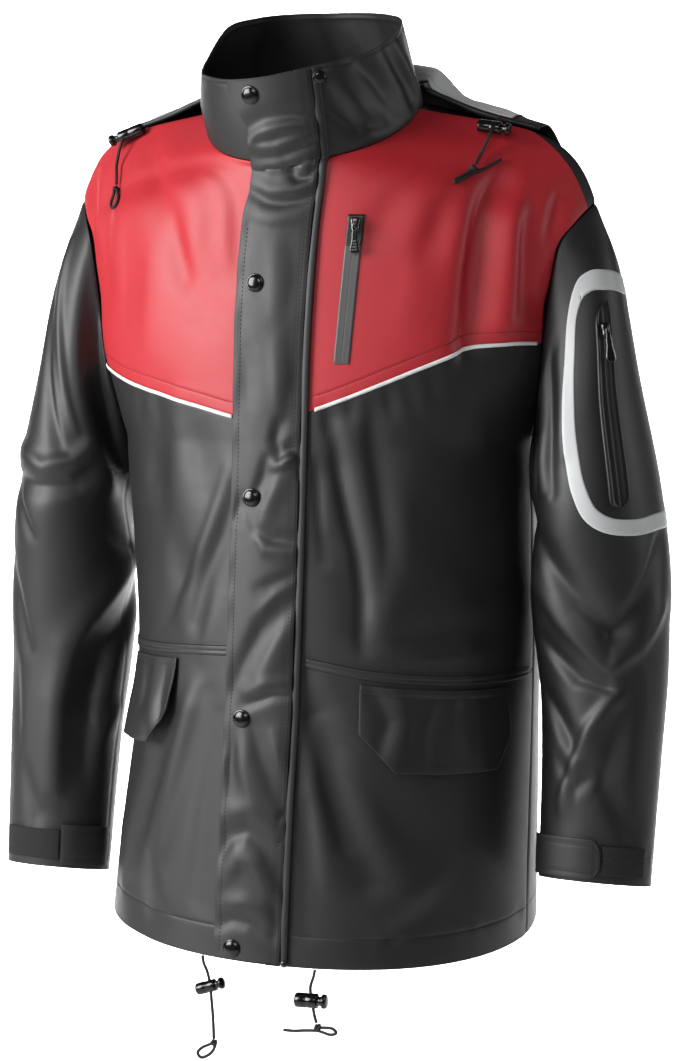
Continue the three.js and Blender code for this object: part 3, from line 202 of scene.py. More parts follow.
def bare_torso(face, side, out, at):
    """A point of the torso: out from the middle (0) to the side seam (1), at up from the hem."""
    out, at = np.broadcast_arrays(np.asarray(out, float), np.asarray(at, float))

    def read(name, corner=None):
        return column(TORSO["at"], TORSO[name], at, corner)

    above = clamp((at - NECK) / (RIDGE - NECK))
    if face == "front":
        joint = neckline(JOINT_ANGLE)
        settle = clamp(at / NECK) ** 3
        middle = point(JOINT_X, read("front_y", NECK) + mix(2.2, joint[1] + 98, settle),
                       read("front_z", NECK) + (joint[2] + 48) * settle)
        ring = neckline(mix(JOINT_ANGLE, side * SHOULDER_ANGLE, above))
        lead, straight = (side, side * JOINT_SLOPE), np.minimum(1, above * 2.5)
    else:
        middle = point(0, read("back_y", NECK), read("back_z", NECK))
        ring = neckline(mix(math.pi, SHOULDER_ANGLE if side > 0 else 2 * math.pi - SHOULDER_ANGLE, above))
        lead, straight = (side, 0), np.minimum(1, above * 1.5)
    start = np.where((at < NECK)[..., None], middle, ring)
    low_side = LOW_SIDE * (1 - clamp(at / WAIST)) ** 2 if side > 0 else 0
    end = point(side * read(face + "_edge_x", ARMPIT) * (1 + side * read("sway")),
                read(face + "_edge_y", ARMPIT), read(face + "_edge_z", ARMPIT) - low_side)
    turn = np.radians(read(face + "_turn"))
    dx, dy = end[..., 0] - start[..., 0], end[..., 1] - start[..., 1]
    chord = np.hypot(dx, dy)
    lead_x, lead_y = mix(lead[0], dx / chord, straight), mix(lead[1], dy / chord, straight)
    h0 = read("round") * np.abs(dx)
    h1 = read("round") * np.maximum(np.abs(dy), 0.5 * np.abs(dx))
    t, s = out, 1 - out
    w = (s**3, 3 * s * s * t, 3 * s * t * t, t**3)
    x = (w[0] * start[..., 0] + w[1] * (start[..., 0] + lead_x * h0)
         + w[2] * (end[..., 0] - side * np.cos(turn) * h1) + w[3] * end[..., 0])
    y = (w[0] * start[..., 1] + w[1] * (start[..., 1] + lead_y * h0)
         + w[2] * (end[..., 1] - np.sin(turn) * h1) + w[3] * end[..., 1])
    lean = read(face + "_lean")
    fall = lean * t + (1 - lean) * np.maximum(t, 0) ** read(face + "_drop")
    return point(x, y, mix(start[..., 2], end[..., 2], fall))


print("the hem's front is at", bare_torso("front", 1, 0, 0).round(1))

# %% [markdown]
# ## Creases
#
# Coated cloth is stiff. It folds in a few soft troughs and ridges, longer than they are wide, with
# one flank steeper than the other and both ends dying out. A cloth simulation would put them anywhere.
# The real coat has them in known places, so they are listed: how deep, how wide, and the line
# that each one follows. Depths below zero are troughs.

# %% Crease tool
def creases(table, u, v, soft=1.0):
    """How far the cloth stands out at u, v by the creases of a table, all in millimetres."""
    u, v = np.broadcast_arrays(np.asarray(u, float), np.asarray(v, float))
    total = np.zeros(u.shape)
    for deep, wide, *line in table:
        line = np.array(line, float)
        run = np.concatenate([[0], np.cumsum(np.hypot(*np.diff(line, axis=0).T))])
        best, along, flank = np.full(u.shape, 1e9), np.zeros(u.shape), np.zeros(u.shape)
        for k in range(len(line) - 1):
            (ax, ay), (dx, dy) = line[k], line[k + 1] - line[k]
            long = max(math.hypot(dx, dy), 1e-6)
            t = clamp(((u - ax) * dx + (v - ay) * dy) / long**2)
            away = np.hypot(u - ax - dx * t, v - ay - dy * t)
            near = away < best
            across = (dx * (v - ay) - dy * (u - ax)) / long
            best = np.where(near, away, best)
            along = np.where(near, (run[k] + long * t) / run[-1], along)
            flank = np.where(near, across / np.maximum(away, 1e-6), flank)
        ends = np.sin(np.pi * (0.12 + 0.76 * along)) ** 0.6
        total += deep * ends * np.exp(-((best / (wide * soft * (1 + 0.3 * clamp(flank, -1, 1)))) ** 2))
    return total


# The front's creases, by x and z. The first lines are the large folds that the solids have too.
LARGE_FOLDS = [
    (-6, 15, (190, -78), (180, -205)), (4, 11, (205, -95), (203, -190)),
    (-2.5, 13, (157, -90), (140, -125)), (-2, 13, (118, -80), (97, -112)),
    (-3, 18, (-165, -45), (-92, -150)), (-2.5, 14, (-52, -80), (-48, -150)),
    (-3, 16, (66, -330), (96, -470)), (3, 20, (140, -320), (118, -460)),
    (-3, 20, (-135, -330), (-90, -430)), (-4, 18, (64, -552), (112, -700)),
    (3, 22, (-80, -560), (-100, -730)), (-3, 20, (-150, -620), (-130, -760)),
]
YOKE_CREASES = [
    (-9, 11, (190, -66), (185, -105), (181, -150), (181, -190), (177, -226)),
    (7, 9, (203, -66), (201, -100), (199, -140), (197, -200)), (-5, 8, (214, -96), (216, -140), (214, -184)),
    (4.5, 7, (225, -84), (228, -120), (226, -160)), (-5, 7, (238, -80), (234, -100), (230, -126)),
    (3, 6, (246, -88), (242, -112)), (-3, 12, (157, -84), (147, -112)), (2.4, 14, (168, -80), (162, -150)),
    (-2.4, 12, (118, -78), (96, -108)), (1.8, 18, (136, -110), (128, -190)),
    (-4.4, 13, (-166, -41), (-138, -70), (-110, -99), (-94, -152)), (3, 16, (-140, -48), (-100, -84), (-76, -150)),
    (-4.2, 11, (-40, -60), (-36, -105), (-32, -150)), (-2.4, 16, (-66, -84), (-70, -190)),
    (2.4, 10, (-52, -70), (-50, -140)),
    (-4.4, 10, (-252, -62), (-243, -90), (-236, -124)), (3, 9, (-236, -62), (-224, -120)),
    (-4, 11, (-221, -70), (-212, -115), (-204, -166)), (2.6, 12, (-196, -70), (-190, -150)),
    (-2.2, 14, (-170, -120), (-168, -200)), (2, 16, (-132, -130), (-134, -215)),
]
BODY_CREASES = [
    (-4.6, 7, (64, -280), (71, -320), (82, -365), (92, -402), (98, -440), (99, -486)),
    (2.2, 8, (76, -290), (88, -350), (104, -410), (112, -470)),
    (-3.2, 8, (100, -268), (101, -308), (108, -345), (115, -391), (114, -455)),
    (1.8, 9, (112, -285), (122, -350), (130, -410)), (-2.4, 5, (50, -322), (54, -360), (61, -408)),
    (1.4, 5, (58, -318), (64, -380)), (-2.2, 14, (104, -290), (131, -345), (160, -400), (182, -432)),
    (-3, 10, (124, -476), (155, -484), (187, -480)), (2, 9, (128, -494), (184, -498)),
    (2, 10, (112, -440), (106, -480)), (-1.6, 4, (56, -266), (60, -292)), (-1.8, 4, (79, -262), (82, -280)),
    (-2, 4.5, (112, -252), (118, -276)), (-1.6, 4.5, (126, -246), (136, -272)),
    (-1.6, 4.5, (146, -240), (152, -262)), (-1.6, 5, (166, -236), (170, -262)), (-2.6, 12, (196, -262), (202, -350)),
    (2.8, 7, (-37, -328), (-54, -380), (-75, -428), (-92, -470)),
    (-3.4, 7, (-28, -345), (-43, -390), (-60, -428), (-72, -474)),
    (-3.2, 13, (-80, -286), (-74, -310), (-66, -345)), (-2.6, 15, (-119, -268), (-132, -330), (-146, -396)),
    (2.2, 14, (-98, -270), (-104, -350), (-110, -430)), (-2.2, 9, (-84, -420), (-97, -452), (-112, -486)),
    (1.6, 8, (-46, -450), (-58, -500)), (-2, 10, (-176, -300), (-172, -400), (-160, -480)),
    (-1.6, 4.5, (-150, -262), (-152, -290)), (-1.4, 4.5, (-128, -268), (-126, -292)),
    (-4, 8, (47, -512), (56, -560), (71, -618), (88, -668)), (2.6, 7, (58, -560), (62, -620), (74, -700)),
    (-2.8, 12, (112, -612), (133, -650), (160, -688)), (2, 12, (92, -600), (118, -670), (142, -712)),
    (2.2, 11, (126, -742), (150, -716), (170, -690)), (-2, 10, (120, -764), (156, -738)),
    (-2, 9, (52, -640), (58, -745)), (-2, 14, (178, -600), (190, -730)),
    (2.8, 9, (-70, -538), (-98, -628), (-122, -694)), (-2.8, 8, (-56, -540), (-80, -625), (-100, -700)),
    (-3, 9, (-98, -560), (-120, -630), (-146, -694), (-158, -735)),
    (2.2, 9, (-118, -560), (-146, -640), (-166, -700)),
    (-2, 9, (-40, -560), (-52, -640), (-60, -730)), (-2.2, 10, (-176, -560), (-184, -680)),
]


def torso(face, side, out, at, fine=True):
    """The torso with its folds: cloth moves in or out from the upright axis of the coat."""
    p = bare_torso(face, side, out, at)
    x, y, z = p[..., 0], p[..., 1], p[..., 2]
    r = np.hypot(x, y - AXIS_Y)
    if face == "front":
        fade = clamp((30 - y) / 40)
        moved = 0.0
        for deep, wide, a, b in LARGE_FOLDS:
            (ax, az), (dx, dz) = a, (b[0] - a[0], b[1] - a[1])
            t = clamp(((x - ax) * dx + (z - az) * dz) / (dx * dx + dz * dz))
            moved = moved + deep * np.exp(-(np.hypot(x - ax - dx * t, z - az - dz * t) / wide) ** 2)
        moved = moved * fade
        if fine:
            moved = moved + creases(YOKE_CREASES, x, z, 1.15) + creases(BODY_CREASES, x, z, 1.4)
    else:
        moved = creases(BACK_CREASES, x, z) if fine else 0.0
    return p + point(x / r * moved, (y - AXIS_Y) / r * moved, 0)


# The back hangs from the shoulder blades in long soft folds, drawn in at the waist.
BACK_CREASES = [
    (-4, 20, (60, -150), (52, -300), (70, -470)), (3.5, 24, (100, -180), (96, -380), (110, -560)),
    (-4, 22, (140, -220), (132, -400), (140, -620)), (3, 20, (20, -260), (14, -420), (24, -640)),
    (-3.5, 22, (-40, -200), (-34, -380), (-48, -600)), (3.5, 22, (-88, -160), (-92, -350), (-80, -540)),
    (-4, 20, (-132, -210), (-128, -360), (-146, -560)), (3, 18, (-168, -260), (-166, -420), (-172, -640)),
    (-3, 12, (198, -150), (186, -260)), (-3, 12, (-200, -150), (-188, -260)),
    (-3.5, 14, (176, -300), (120, -352), (60, -380)), (-3, 13, (-180, -310), (-120, -366), (-50, -392)),
    (-3, 12, (80, -520), (30, -560), (-30, -556)), (2.6, 12, (90, -548), (30, -588), (-34, -582)),
    (-2.6, 10, (-180, -470), (-120, -520), (-70, -528)), (-3, 12, (150, -600), (110, -700)),
    (-3, 14, (-110, -600), (-120, -740)), (2.4, 14, (0, -640), (8, -760)),
]
print("the deepest crease of the chest is", round(float(creases(YOKE_CREASES, 182, -150)), 1), "mm")

# %% [markdown]
# ## Sleeves, collar, hood
#
# A sleeve is a row of tilted ovals below the armhole, so it grows straight out of the torso's own
# edge. The collar is a ring that leans forward, with a rim that rises to the back of the neck. The
# hood lies open behind the collar: from its face edge it climbs a crest and falls down the back.

# %% Sleeves
SLEEVE_ROUND, SLEEVE_LONG = 440, 640
SLEEVE = {
    "down": [0.10, 0.24, 0.38, 0.52, 0.67, 0.84, 1.0],
    "mid": [(250, 45, -222), (260, 43, -298), (274, 42, -368), (279, 42, -440), (282, 37, -520),
            (284, 22, -608), (284, 2, -722)],
    "wide": [90, 70, 60, 63, 60.5, 56, 53], "deep": [50, 68, 77, 72, 64, 57, 48],
    "lift": [66, 46, 22, 7, 2, 0, 0], "nod": [0, 0, 0, 2, 7, 12, 14],
}
SLEEVE_CREASES = {
    1: [(-6, 9, (0.42, 0.37), (0.33, 0.47), (0.26, 0.545), (0.185, 0.6)),
        (-5.5, 8, (0.04, 0.46), (0.11, 0.54), (0.185, 0.6)),
        (5, 9, (0.4, 0.49), (0.31, 0.58), (0.2, 0.665), (0.12, 0.63), (0.05, 0.57)),
        (-5, 7, (0.37, 0.62), (0.27, 0.69), (0.19, 0.705)),
        (5, 7, (0.18, 0.67), (0.175, 0.71), (0.24, 0.785), (0.32, 0.9)),
        (-6, 8, (0.38, 0.73), (0.32, 0.79), (0.28, 0.83)), (-3.5, 7, (0.33, 0.85), (0.28, 0.88), (0.22, 0.86)),
        (2.4, 11, (0.11, 0.7), (0.13, 0.9)), (-4, 9, (0.17, 0.76), (0.2, 0.88), (0.12, 0.93)),
        (-6, 7, (0.4, 0.06), (0.375, 0.16), (0.39, 0.3)), (4.5, 5, (0.345, 0.07), (0.335, 0.18), (0.345, 0.3)),
        (-3.6, 5, (0.3, 0.08), (0.295, 0.2), (0.31, 0.32)), (2.6, 6, (0.265, 0.1), (0.262, 0.26)),
        (5, 24, (0.43, 0.42), (0.45, 0.52), (0.43, 0.64)), (-4, 16, (0.86, 0.5), (0.74, 0.66)),
        (-4, 16, (0.7, 0.42), (0.6, 0.58)),
        (-4, 10, (0.9, 0.47), (0.82, 0.56), (0.76, 0.66)), (3, 10, (0.9, 0.53), (0.83, 0.63), (0.76, 0.72)),
        (-4, 10, (0.72, 0.36), (0.66, 0.46), (0.6, 0.58)), (2.6, 11, (0.76, 0.4), (0.69, 0.52)),
        (-3, 9, (0.96, 0.6), (0.9, 0.72), (0.8, 0.8)), (-3, 11, (0.62, 0.66), (0.58, 0.78), (0.66, 0.88)),
        (-2.4, 9, (0.88, 0.84), (0.78, 0.9)), (-2.4, 12, (0.8, 0.08), (0.74, 0.2)),
        (2, 12, (0.88, 0.1), (0.84, 0.26))],
    -1: [(5, 12, (0.2, 0.04), (0.27, 0.12), (0.35, 0.2), (0.42, 0.3)),
        (-9, 15, (0.32, 0.05), (0.41, 0.17), (0.48, 0.27), (0.56, 0.41)),
         (6, 11, (0.51, 0.49), (0.43, 0.55), (0.37, 0.6), (0.325, 0.66), (0.3, 0.76), (0.3, 0.9)),
         (-11, 13, (0.58, 0.54), (0.49, 0.61), (0.42, 0.66), (0.39, 0.75), (0.385, 0.86)),
         (5, 7, (0.08, 0.34), (0.231, 0.325), (0.306, 0.28), (0.345, 0.22)),
         (-5, 7, (0.08, 0.385), (0.22, 0.365), (0.32, 0.325), (0.37, 0.26)),
         (-5, 6, (0.1, 0.39), (0.16, 0.42), (0.21, 0.45)), (-5, 8, (0.1, 0.51), (0.15, 0.57), (0.2, 0.66)),
         (3.4, 9, (0.38, 0.8), (0.44, 0.81), (0.5, 0.77)), (-3.4, 5, (0.419, 0.425), (0.45, 0.44), (0.5, 0.46)),
         (3, 6, (0.08, 0.05), (0.2, 0.14), (0.29, 0.22)), (-4, 7, (0.06, 0.09), (0.17, 0.2), (0.26, 0.27)),
         (-3, 7, (0.2, 0.88), (0.25, 0.93), (0.31, 0.92)), (-2.4, 9, (0.14, 0.7), (0.16, 0.84)),
         (-4, 16, (0.86, 0.5), (0.74, 0.62)), (-4, 10, (0.9, 0.47), (0.82, 0.55), (0.76, 0.64)),
         (3, 10, (0.9, 0.53), (0.82, 0.62), (0.75, 0.7)), (-3, 10, (0.74, 0.34), (0.66, 0.44), (0.6, 0.56)),
         (-2.6, 9, (0.96, 0.6), (0.9, 0.7), (0.82, 0.8)), (-3, 11, (0.66, 0.68), (0.62, 0.78), (0.68, 0.87)),
         (-2.4, 12, (0.8, 0.08), (0.74, 0.2))],
}


def armhole(side, turn):
    down = turn <= 0.5
    at = mix(RIDGE, ARMPIT, np.where(down, turn * 2, 2 - turn * 2))
    return np.where(down[..., None], torso("front", side, 1, at, False), torso("back", side, 1, at, False))


def sleeve(side, turn, down, fine=True):
    """A point of a sleeve: turn round it from the shoulder by the front, down from armhole to cuff."""
    turn, down = np.broadcast_arrays(np.asarray(turn, float), np.asarray(down, float))
    wrapped = turn % 1.0
    angle = wrapped * 2 * np.pi
    drop, aside_x, aside_y = (-2, 3, 0) if side > 0 else (44, -3, 4)
    rings = [armhole(side, wrapped)]
    for k, low in enumerate(SLEEVE["down"]):
        x, y, z = SLEEVE["mid"][k]
        lift, nod, share = math.radians(SLEEVE["lift"][k]), math.radians(SLEEVE["nod"][k]), low**1.5
        across, deep = SLEEVE["wide"][k] * np.cos(angle), SLEEVE["deep"][k] * np.sin(angle)
        rings.append(point(side * x + aside_x * share + across * side * math.cos(lift),
                           y + aside_y * share - deep * math.cos(nod),
                           z - drop * share + across * math.sin(lift) + deep * math.sin(nod)))
    p = np.stack([column([0] + SLEEVE["down"], [r[..., k] for r in rings], down) for k in range(3)], axis=-1)
    if fine:
        out = 0.0
        for row in SLEEVE_CREASES[side]:
            line = [(t * SLEEVE_ROUND, d * SLEEVE_LONG) for t, d in row[2:]]
            centre = sum(t for t, d in row[2:]) / len(row[2:])
            near = wrapped - np.round(wrapped - centre)
            out = out + creases([(row[0], row[1], *line)], near * SLEEVE_ROUND, down * SLEEVE_LONG, 1.5)
        p = p + point(side * np.cos(angle) * out, -np.sin(angle) * out, 0)
    return p


print("the left cuff hangs at", sleeve(1, 0.25, 1.0).round(0))

# %% Collar and hood
RIM_TURN = [-100, -90, -70, -50, -20, 0, 30, 60, 90, 120, 150, 180, 210, 230, 250, 260, 270, 290, 310, 340, 360, 390]
RIM_Z = [68, 54, 37, 32, 27, 29, 39, 51, 70, 86, 93, 95, 94, 90, 81, 68, 54, 37, 32, 27, 29, 39]
# The collar's creases, by degrees round the neck and by height. One degree is 1.72 mm of collar.
PER_DEGREE = 1.72
COLLAR_CREASES = [
    (-3.4, 11, (52, 44), (62, 26), (68, 6)), (3, 9, (36, 30), (46, 8), (50, -18)),
    (-3, 7, (34, 0), (44, -16), (58, -14)),
    (2.4, 7, (40, -30), (54, -28)), (2.6, 8, (84, 62), (92, 30), (96, 4)), (-2.8, 7, (76, 50), (84, 22), (86, -4)),
    (-2.4, 8, (104, 70), (108, 40), (104, 12)), (-2.6, 8, (-38, -34), (-32, -16), (-34, 2)),
    (2.2, 9, (-50, -20), (-46, 16)),
    (-2.4, 9, (-62, 30), (-64, 4), (-58, -20)), (2, 8, (-78, 40), (-78, 8)),
    (-2.6, 9, (-96, 54), (-92, 20), (-98, -4)),
    (-2.6, 12, (196, 86), (190, 52), (198, 24)), (2, 12, (212, 84), (208, 46), (214, 20)),
    (-2.4, 10, (172, 90), (164, 50), (170, 28)), (2, 10, (154, 88), (148, 50), (152, 24)),
    (-2.6, 11, (134, 86), (128, 44), (134, 16)),
    (-2.6, 11, (232, 84), (238, 44), (232, 16)), (2, 9, (18, 32), (24, 6), (22, -30)),
]
HOOD_AT = [0, 0.25, 0.45, 0.6, 0.8, 1]
HOOD = {
    "edge": [(0, 104, 26), (57, 94, 26), (94, 58, 27), (112, 25, 18), (160, 28, -1), (213, 42, -15)],
    "crest": [(0, 117, 46), (60, 106, 44), (96, 76, 40), (117, 58, 20), (163, 50, 3), (216, 51, -13)],
    "back": [(0, 194, -60), (66, 190, -60), (116, 175, -58), (152, 146, -52), (188, 114, -44), (224, 74, -34)],
    "low": [(0, 222, -205), (74, 219, -196), (134, 194, -168), (172, 158, -128), (203, 128, -94), (228, 92, -58)],
}
# The hood's creases, by distance from its middle (to the left) and down from its face edge.
HOOD_CREASES = [
    (-4, 14, (30, 40), (44, 110), (34, 190)), (4, 14, (62, 36), (80, 110), (70, 200)),
    (-4, 12, (96, 44), (118, 110), (104, 186)),
    (3, 12, (132, 40), (150, 100), (140, 150)), (-4, 14, (-24, 46), (-40, 120), (-28, 200)),
    (3.5, 14, (-60, 40), (-76, 120), (-62, 200)),
    (-4, 12, (-100, 44), (-114, 110), (-98, 180)), (3, 12, (-136, 40), (-150, 96), (-138, 150)),
    (-3, 10, (168, 40), (184, 90)),
    (-3, 10, (-170, 40), (-182, 90)), (-3, 12, (-60, 222), (0, 236), (70, 220)),
    (-3, 10, (60, 150), (0, 166), (-50, 150)),
    (2.4, 10, (200, 30), (206, 80)), (2.4, 10, (-200, 30), (-206, 80)), (-2, 7, (150, 12), (196, 18)),
    (-2, 7, (-150, 12), (-196, 18)),
]


def collar(angle, up, fine=True):
    angle, up = np.broadcast_arrays(np.asarray(angle, float), np.asarray(up, float))
    half, reach = column([0, 0.5, 1], [103, 100, 93.5], up), column([0, 0.5, 1], [98, 95, 90], up)
    x, y = column([0, 0.5, 1], [5, 1, 0], up), column([0, 0.5, 1], [0, -13, -25], up)
    z = mix(neckline(angle)[..., 2], column(RIM_TURN, RIM_Z, np.degrees(angle)), up)
    out = 0.0
    if fine:
        table = [(deep, wide, *[(a * PER_DEGREE, h) for a, h in line]) for deep, wide, *line in COLLAR_CREASES]
        out = creases(table, np.degrees(angle) * PER_DEGREE, z, 1.2)
        out = out * 1.3 * clamp((up - 0.02) / 0.15)
    return point(x + (half + out) * np.sin(angle), y - (reach + out) * np.cos(angle), z)


def hood(a, b, fine=True):
    """A point of the hood: a from right (-1) to left (1), b from the face edge (0) down the back (1)."""
    a, b = np.broadcast_arrays(np.asarray(a, float), np.asarray(b, float))
    side = np.where(a < 0, -1.0, 1.0)
    rows = [[column(HOOD_AT, [p[k] for p in HOOD[name]], np.abs(a)) for k in range(3)]
            for name in ("edge", "crest", "back", "low")]
    p = [column([0, 0.16, 0.6, 1], [row[k] for row in rows], b) for k in range(3)]
    out = creases(HOOD_CREASES, a * 240, b * 250) * clamp(b / 0.08) if fine else 0.0
    fall = clamp((b - 0.1) / 0.2)
    return point(side * p[0], p[1] + out * fall, p[2] + out * (1 - fall) * 0.8)


print("the rim stands", round(float(collar(math.pi, 1.0)[2])), "mm up at the nape")

# %% [markdown]
# ## Finding a place on the front
#
# The flap, the zips and the snaps are placed as they are seen: so far across and so high. The surface
# is known by other coordinates, so a few Newton steps look for the point that has that x and z.

# %% Places on the front
def solve(surface, x, z, p, q, step, low, high):
    for _ in range(9):
        here, on, up = surface(p, q), surface(p + step[0], q), surface(p, q + step[1])
        a, c = (on[..., 0] - here[..., 0]) / step[0], (on[..., 2] - here[..., 2]) / step[0]
        b, d = (up[..., 0] - here[..., 0]) / step[1], (up[..., 2] - here[..., 2]) / step[1]
        ex, ez = x - here[..., 0], z - here[..., 2]
        det = a * d - b * c
        det = np.where(np.abs(det) < 1e-9, 1e-9, det)
        p = clamp(p + (ex * d - ez * b) / det, low[0], high[0])
        q = clamp(q + (ez * a - ex * c) / det, low[1], high[1])
    return surface(p, q)


def front(x, z, fine=False):
    """The front at x and height z: the torso below the neckline, and the collar above it."""
    x, z = np.broadcast_arrays(np.asarray(x, float), np.asarray(z, float))
    angle = np.arcsin(clamp((x - 5) / 103, -1, 1))
    on_collar = (z > neckline(angle)[..., 2]) & (np.abs(x) < 80)
    result = np.zeros(x.shape + (3,))
    if on_collar.any():
        m = on_collar
        result[m] = solve(lambda t, u: collar(t, u, fine), x[m], z[m], angle[m], np.full(m.sum(), 0.4),
                          (0.01, 0.01), (-1.4, 0), (1.4, 1.25))
    for side in (1, -1):
        m = ~on_collar & ((x >= JOINT_X) == (side > 0))
        if m.any():
            reach = (x[m] - JOINT_X) / 190 if side > 0 else (JOINT_X - x[m]) / 245
            high = np.where(z[m] > -110, RIDGE, NECK)
            result[m] = solve(lambda o, a, s=side: torso("front", s, o, a, fine), x[m], z[m],
                              clamp(reach * 0.7, 0, 0.9), clamp((z[m] + 783) * 0.98, 5, 700),
                              (0.002, 0.5), (0, -8), (1, high))
    return result


def front_normal(x, z):
    x, z = np.broadcast_arrays(np.asarray(x, float), np.asarray(z, float))
    return unit(np.cross(front(x + 1.5, z) - front(x - 1.5, z), front(x, z + 1.5) - front(x, z - 1.5)))


def on_front(x, z, lift):
    return front(x, z) + front_normal(x, z) * lift


print("the chest snap sits at", on_front(-10, -157, 6).round(1))

# %% [markdown]
# ## Writing finishes as sums
#
# A procedural finish is arithmetic on a few noise fields. Written with nodes it is hard to read, so a
# socket is wrapped in a small class. With it, 0.4 + 0.1 * noise adds the right Math nodes by itself.
# Every other node comes from one method that sets its options first, and then its inputs.

# %% Shader helper
class Wire:
    """A socket that can be used in sums. Its finish makes the Math nodes."""

    def __init__(self, finish, socket):
        self.finish, self.socket = finish, socket

    def sum(self, operation, a, b=0.0):
        return self.finish.node("Math", {"operation": operation}, {0: a, 1: b})

    def __add__(self, other):
        return self.sum("ADD", self, other)

    def __radd__(self, other):
        return self.sum("ADD", other, self)

    def __sub__(self, other):
        return self.sum("SUBTRACT", self, other)

    def __rsub__(self, other):
        return self.sum("SUBTRACT", other, self)

    def __mul__(self, other):
        return self.sum("MULTIPLY", self, other)

    def __rmul__(self, other):
        return self.sum("MULTIPLY", other, self)

    def sine(self):
        return self.sum("SINE", self)

    def kept(self):
        return self.finish.node("Clamp", {}, {"Value": self})


class Finish:
    """A material under construction."""

    def __init__(self, name):
        self.made = bpy.data.materials.new(name)
        self.made.use_nodes = True
        self.tree = self.made.node_tree
        self.tree.nodes.clear()
        self.surface = self.node("BsdfPrincipled")
        self.put(self.node("OutputMaterial", out=None), "Surface", self.surface)

    def put(self, made, key, value):
        socket = made.inputs[key]
        if isinstance(value, Wire):
            self.tree.links.new(value.socket, socket)
        elif socket.type == "RGBA" and len(value) == 3:
            socket.default_value = (*value, 1)
        else:
            socket.default_value = value

    def node(self, kind, settings=None, inputs=None, out=0):
        made = self.tree.nodes.new("ShaderNode" + kind)
        for key, value in (settings or {}).items():
            setattr(made, key, value)
        for key, value in (inputs or {}).items():
            self.put(made, key, value)
        return made if out is None else Wire(self, made.outputs[out])

    def shade(self, **inputs):
        for key, value in inputs.items():
            self.put(self.surface.socket.node, key.replace("_", " "), value)
        return self.made

    def where(self):
        return self.node("TexCoord", out="Object")

    def along(self):
        """The cloth's own coordinates, in millimetres, as two numbers."""
        parts = self.node("SeparateXYZ", {}, {0: self.node("UVMap", {"uv_map": "cut"})}, out=None)
        return Wire(self, parts.outputs[0]) * 1000.0, Wire(self, parts.outputs[1]) * 1000.0

    def noise(self, size, detail=2.0, rough=0.5):
        """Soft noise from 0 to 1 whose lumps are about size millimetres across."""
        return self.node("TexNoise", {}, {"Vector": self.where(), "Scale": 1000.0 / size, "Detail": detail,
                                          "Roughness": rough})

    def cells(self, size):
        return self.node("TexVoronoi", {}, {"Vector": self.where(), "Scale": 1000.0 / size})

    def edge(self):
        """1 at the cut edge of a piece, 0 inside it."""
        return self.node("Attribute", {"attribute_name": "edge"}, out="Fac")

    def blend(self, share, a, b):
        """From colour a to colour b by share."""
        return self.node("Mix", {"data_type": "RGBA"}, {0: share, 6: a, 7: b}, out=2)

    def bump(self, height, strength, depth):
        """A bump from a height of 0 to 1 that stands for depth millimetres."""
        return self.node("Bump", {}, {"Height": height, "Strength": strength, "Distance": depth / 1000.0})


def shade_of(colour, times):
    return tuple(c * times for c in colour)


print("finishes are ready to be mixed")

# %% [markdown]
# ## Finishes
#
# The coating is a thin rubbery skin on a knit. It has a satin gloss, a very fine orange peel, and the
# knit shows through as a faint regular ripple. At cut edges the skin is rubbed a little duller and
# lighter. Black and red cloth are the same material in two colours, so they share one recipe.

# %% Coated cloth
BLACK, RED = (0.0072, 0.0073, 0.0079), (0.44, 0.0115, 0.0200)


def coated_cloth(name, colour, low, high):
    f = Finish(name)
    broad, cloudy, peel = f.noise(70, 3), f.noise(9, 2), f.noise(0.9, 2)
    u, v = f.along()
    knit = 0.5 + 0.25 * ((u * 5.2).sine() + (v * 5.2).sine())
    worn = f.edge()
    tone = (0.35 * broad + 0.4 * cloudy + 0.25 * peel).kept()
    base = f.blend(tone, shade_of(colour, 0.86), shade_of(colour, 1.14))
    base = f.blend(worn * 0.35, base, shade_of(colour, 1.5))
    rough = (low + (high - low) * (0.6 * cloudy + 0.4 * broad) + 0.06 * worn).kept()
    height = 0.6 * peel + 0.25 * knit + 0.15 * cloudy
    return f.shade(Base_Color=base, Roughness=rough, Normal=f.bump(height, 0.35, 0.06), Specular_IOR_Level=0.62)


black_cloth = coated_cloth("black_coated_cloth", BLACK, 0.47, 0.57)
red_cloth = coated_cloth("red_coated_cloth", RED, 0.50, 0.60)


def knitted_backing(name, colour):
    f = Finish(name)
    u, v = f.along()
    loops = 0.5 + 0.5 * (u * 4.2).sine() * (v * 3.1 + 0.6 * (u * 4.2).sine()).sine()
    fuzz = f.noise(1.4, 3)
    base = f.blend((0.6 * loops + 0.4 * fuzz).kept(), shade_of(colour, 0.6), shade_of(colour, 1.5))
    return f.shade(Base_Color=base, Roughness=0.8 + 0.12 * fuzz, Normal=f.bump(0.7 * loops + 0.3 * fuzz, 0.6, 0.25),
                   Specular_IOR_Level=0.25)


backing = knitted_backing("black_knit_backing", (0.018, 0.018, 0.019))
print("cloth finishes:", black_cloth.name, red_cloth.name, backing.name)

# %% [markdown]
# Trims are finished one by one. The light hood lining panel is smooth. The sleeve's band is covered in
# tiny glass beads, seen as a fine grain. Piping is a woven strip round a cord. Zip tape is welded on
# and shines. Snaps and cord locks are moulded plastic, pulls are lacquered metal, and the hook
# patches are a field of tiny stems.

# %% Trims
def trim(name, colour, low, high, grain, depth, spread=0.12, **more):
    f = Finish(name)
    fine, broad = f.noise(grain, 2), f.noise(14, 3)
    base = f.blend((0.5 * fine + 0.5 * broad).kept(), shade_of(colour, 1 - spread), shade_of(colour, 1 + spread))
    rough = (low + (high - low) * (0.5 * fine + 0.5 * broad)).kept()
    return f.shade(Base_Color=base, Roughness=rough, Normal=f.bump(fine, 0.4, depth), **more)


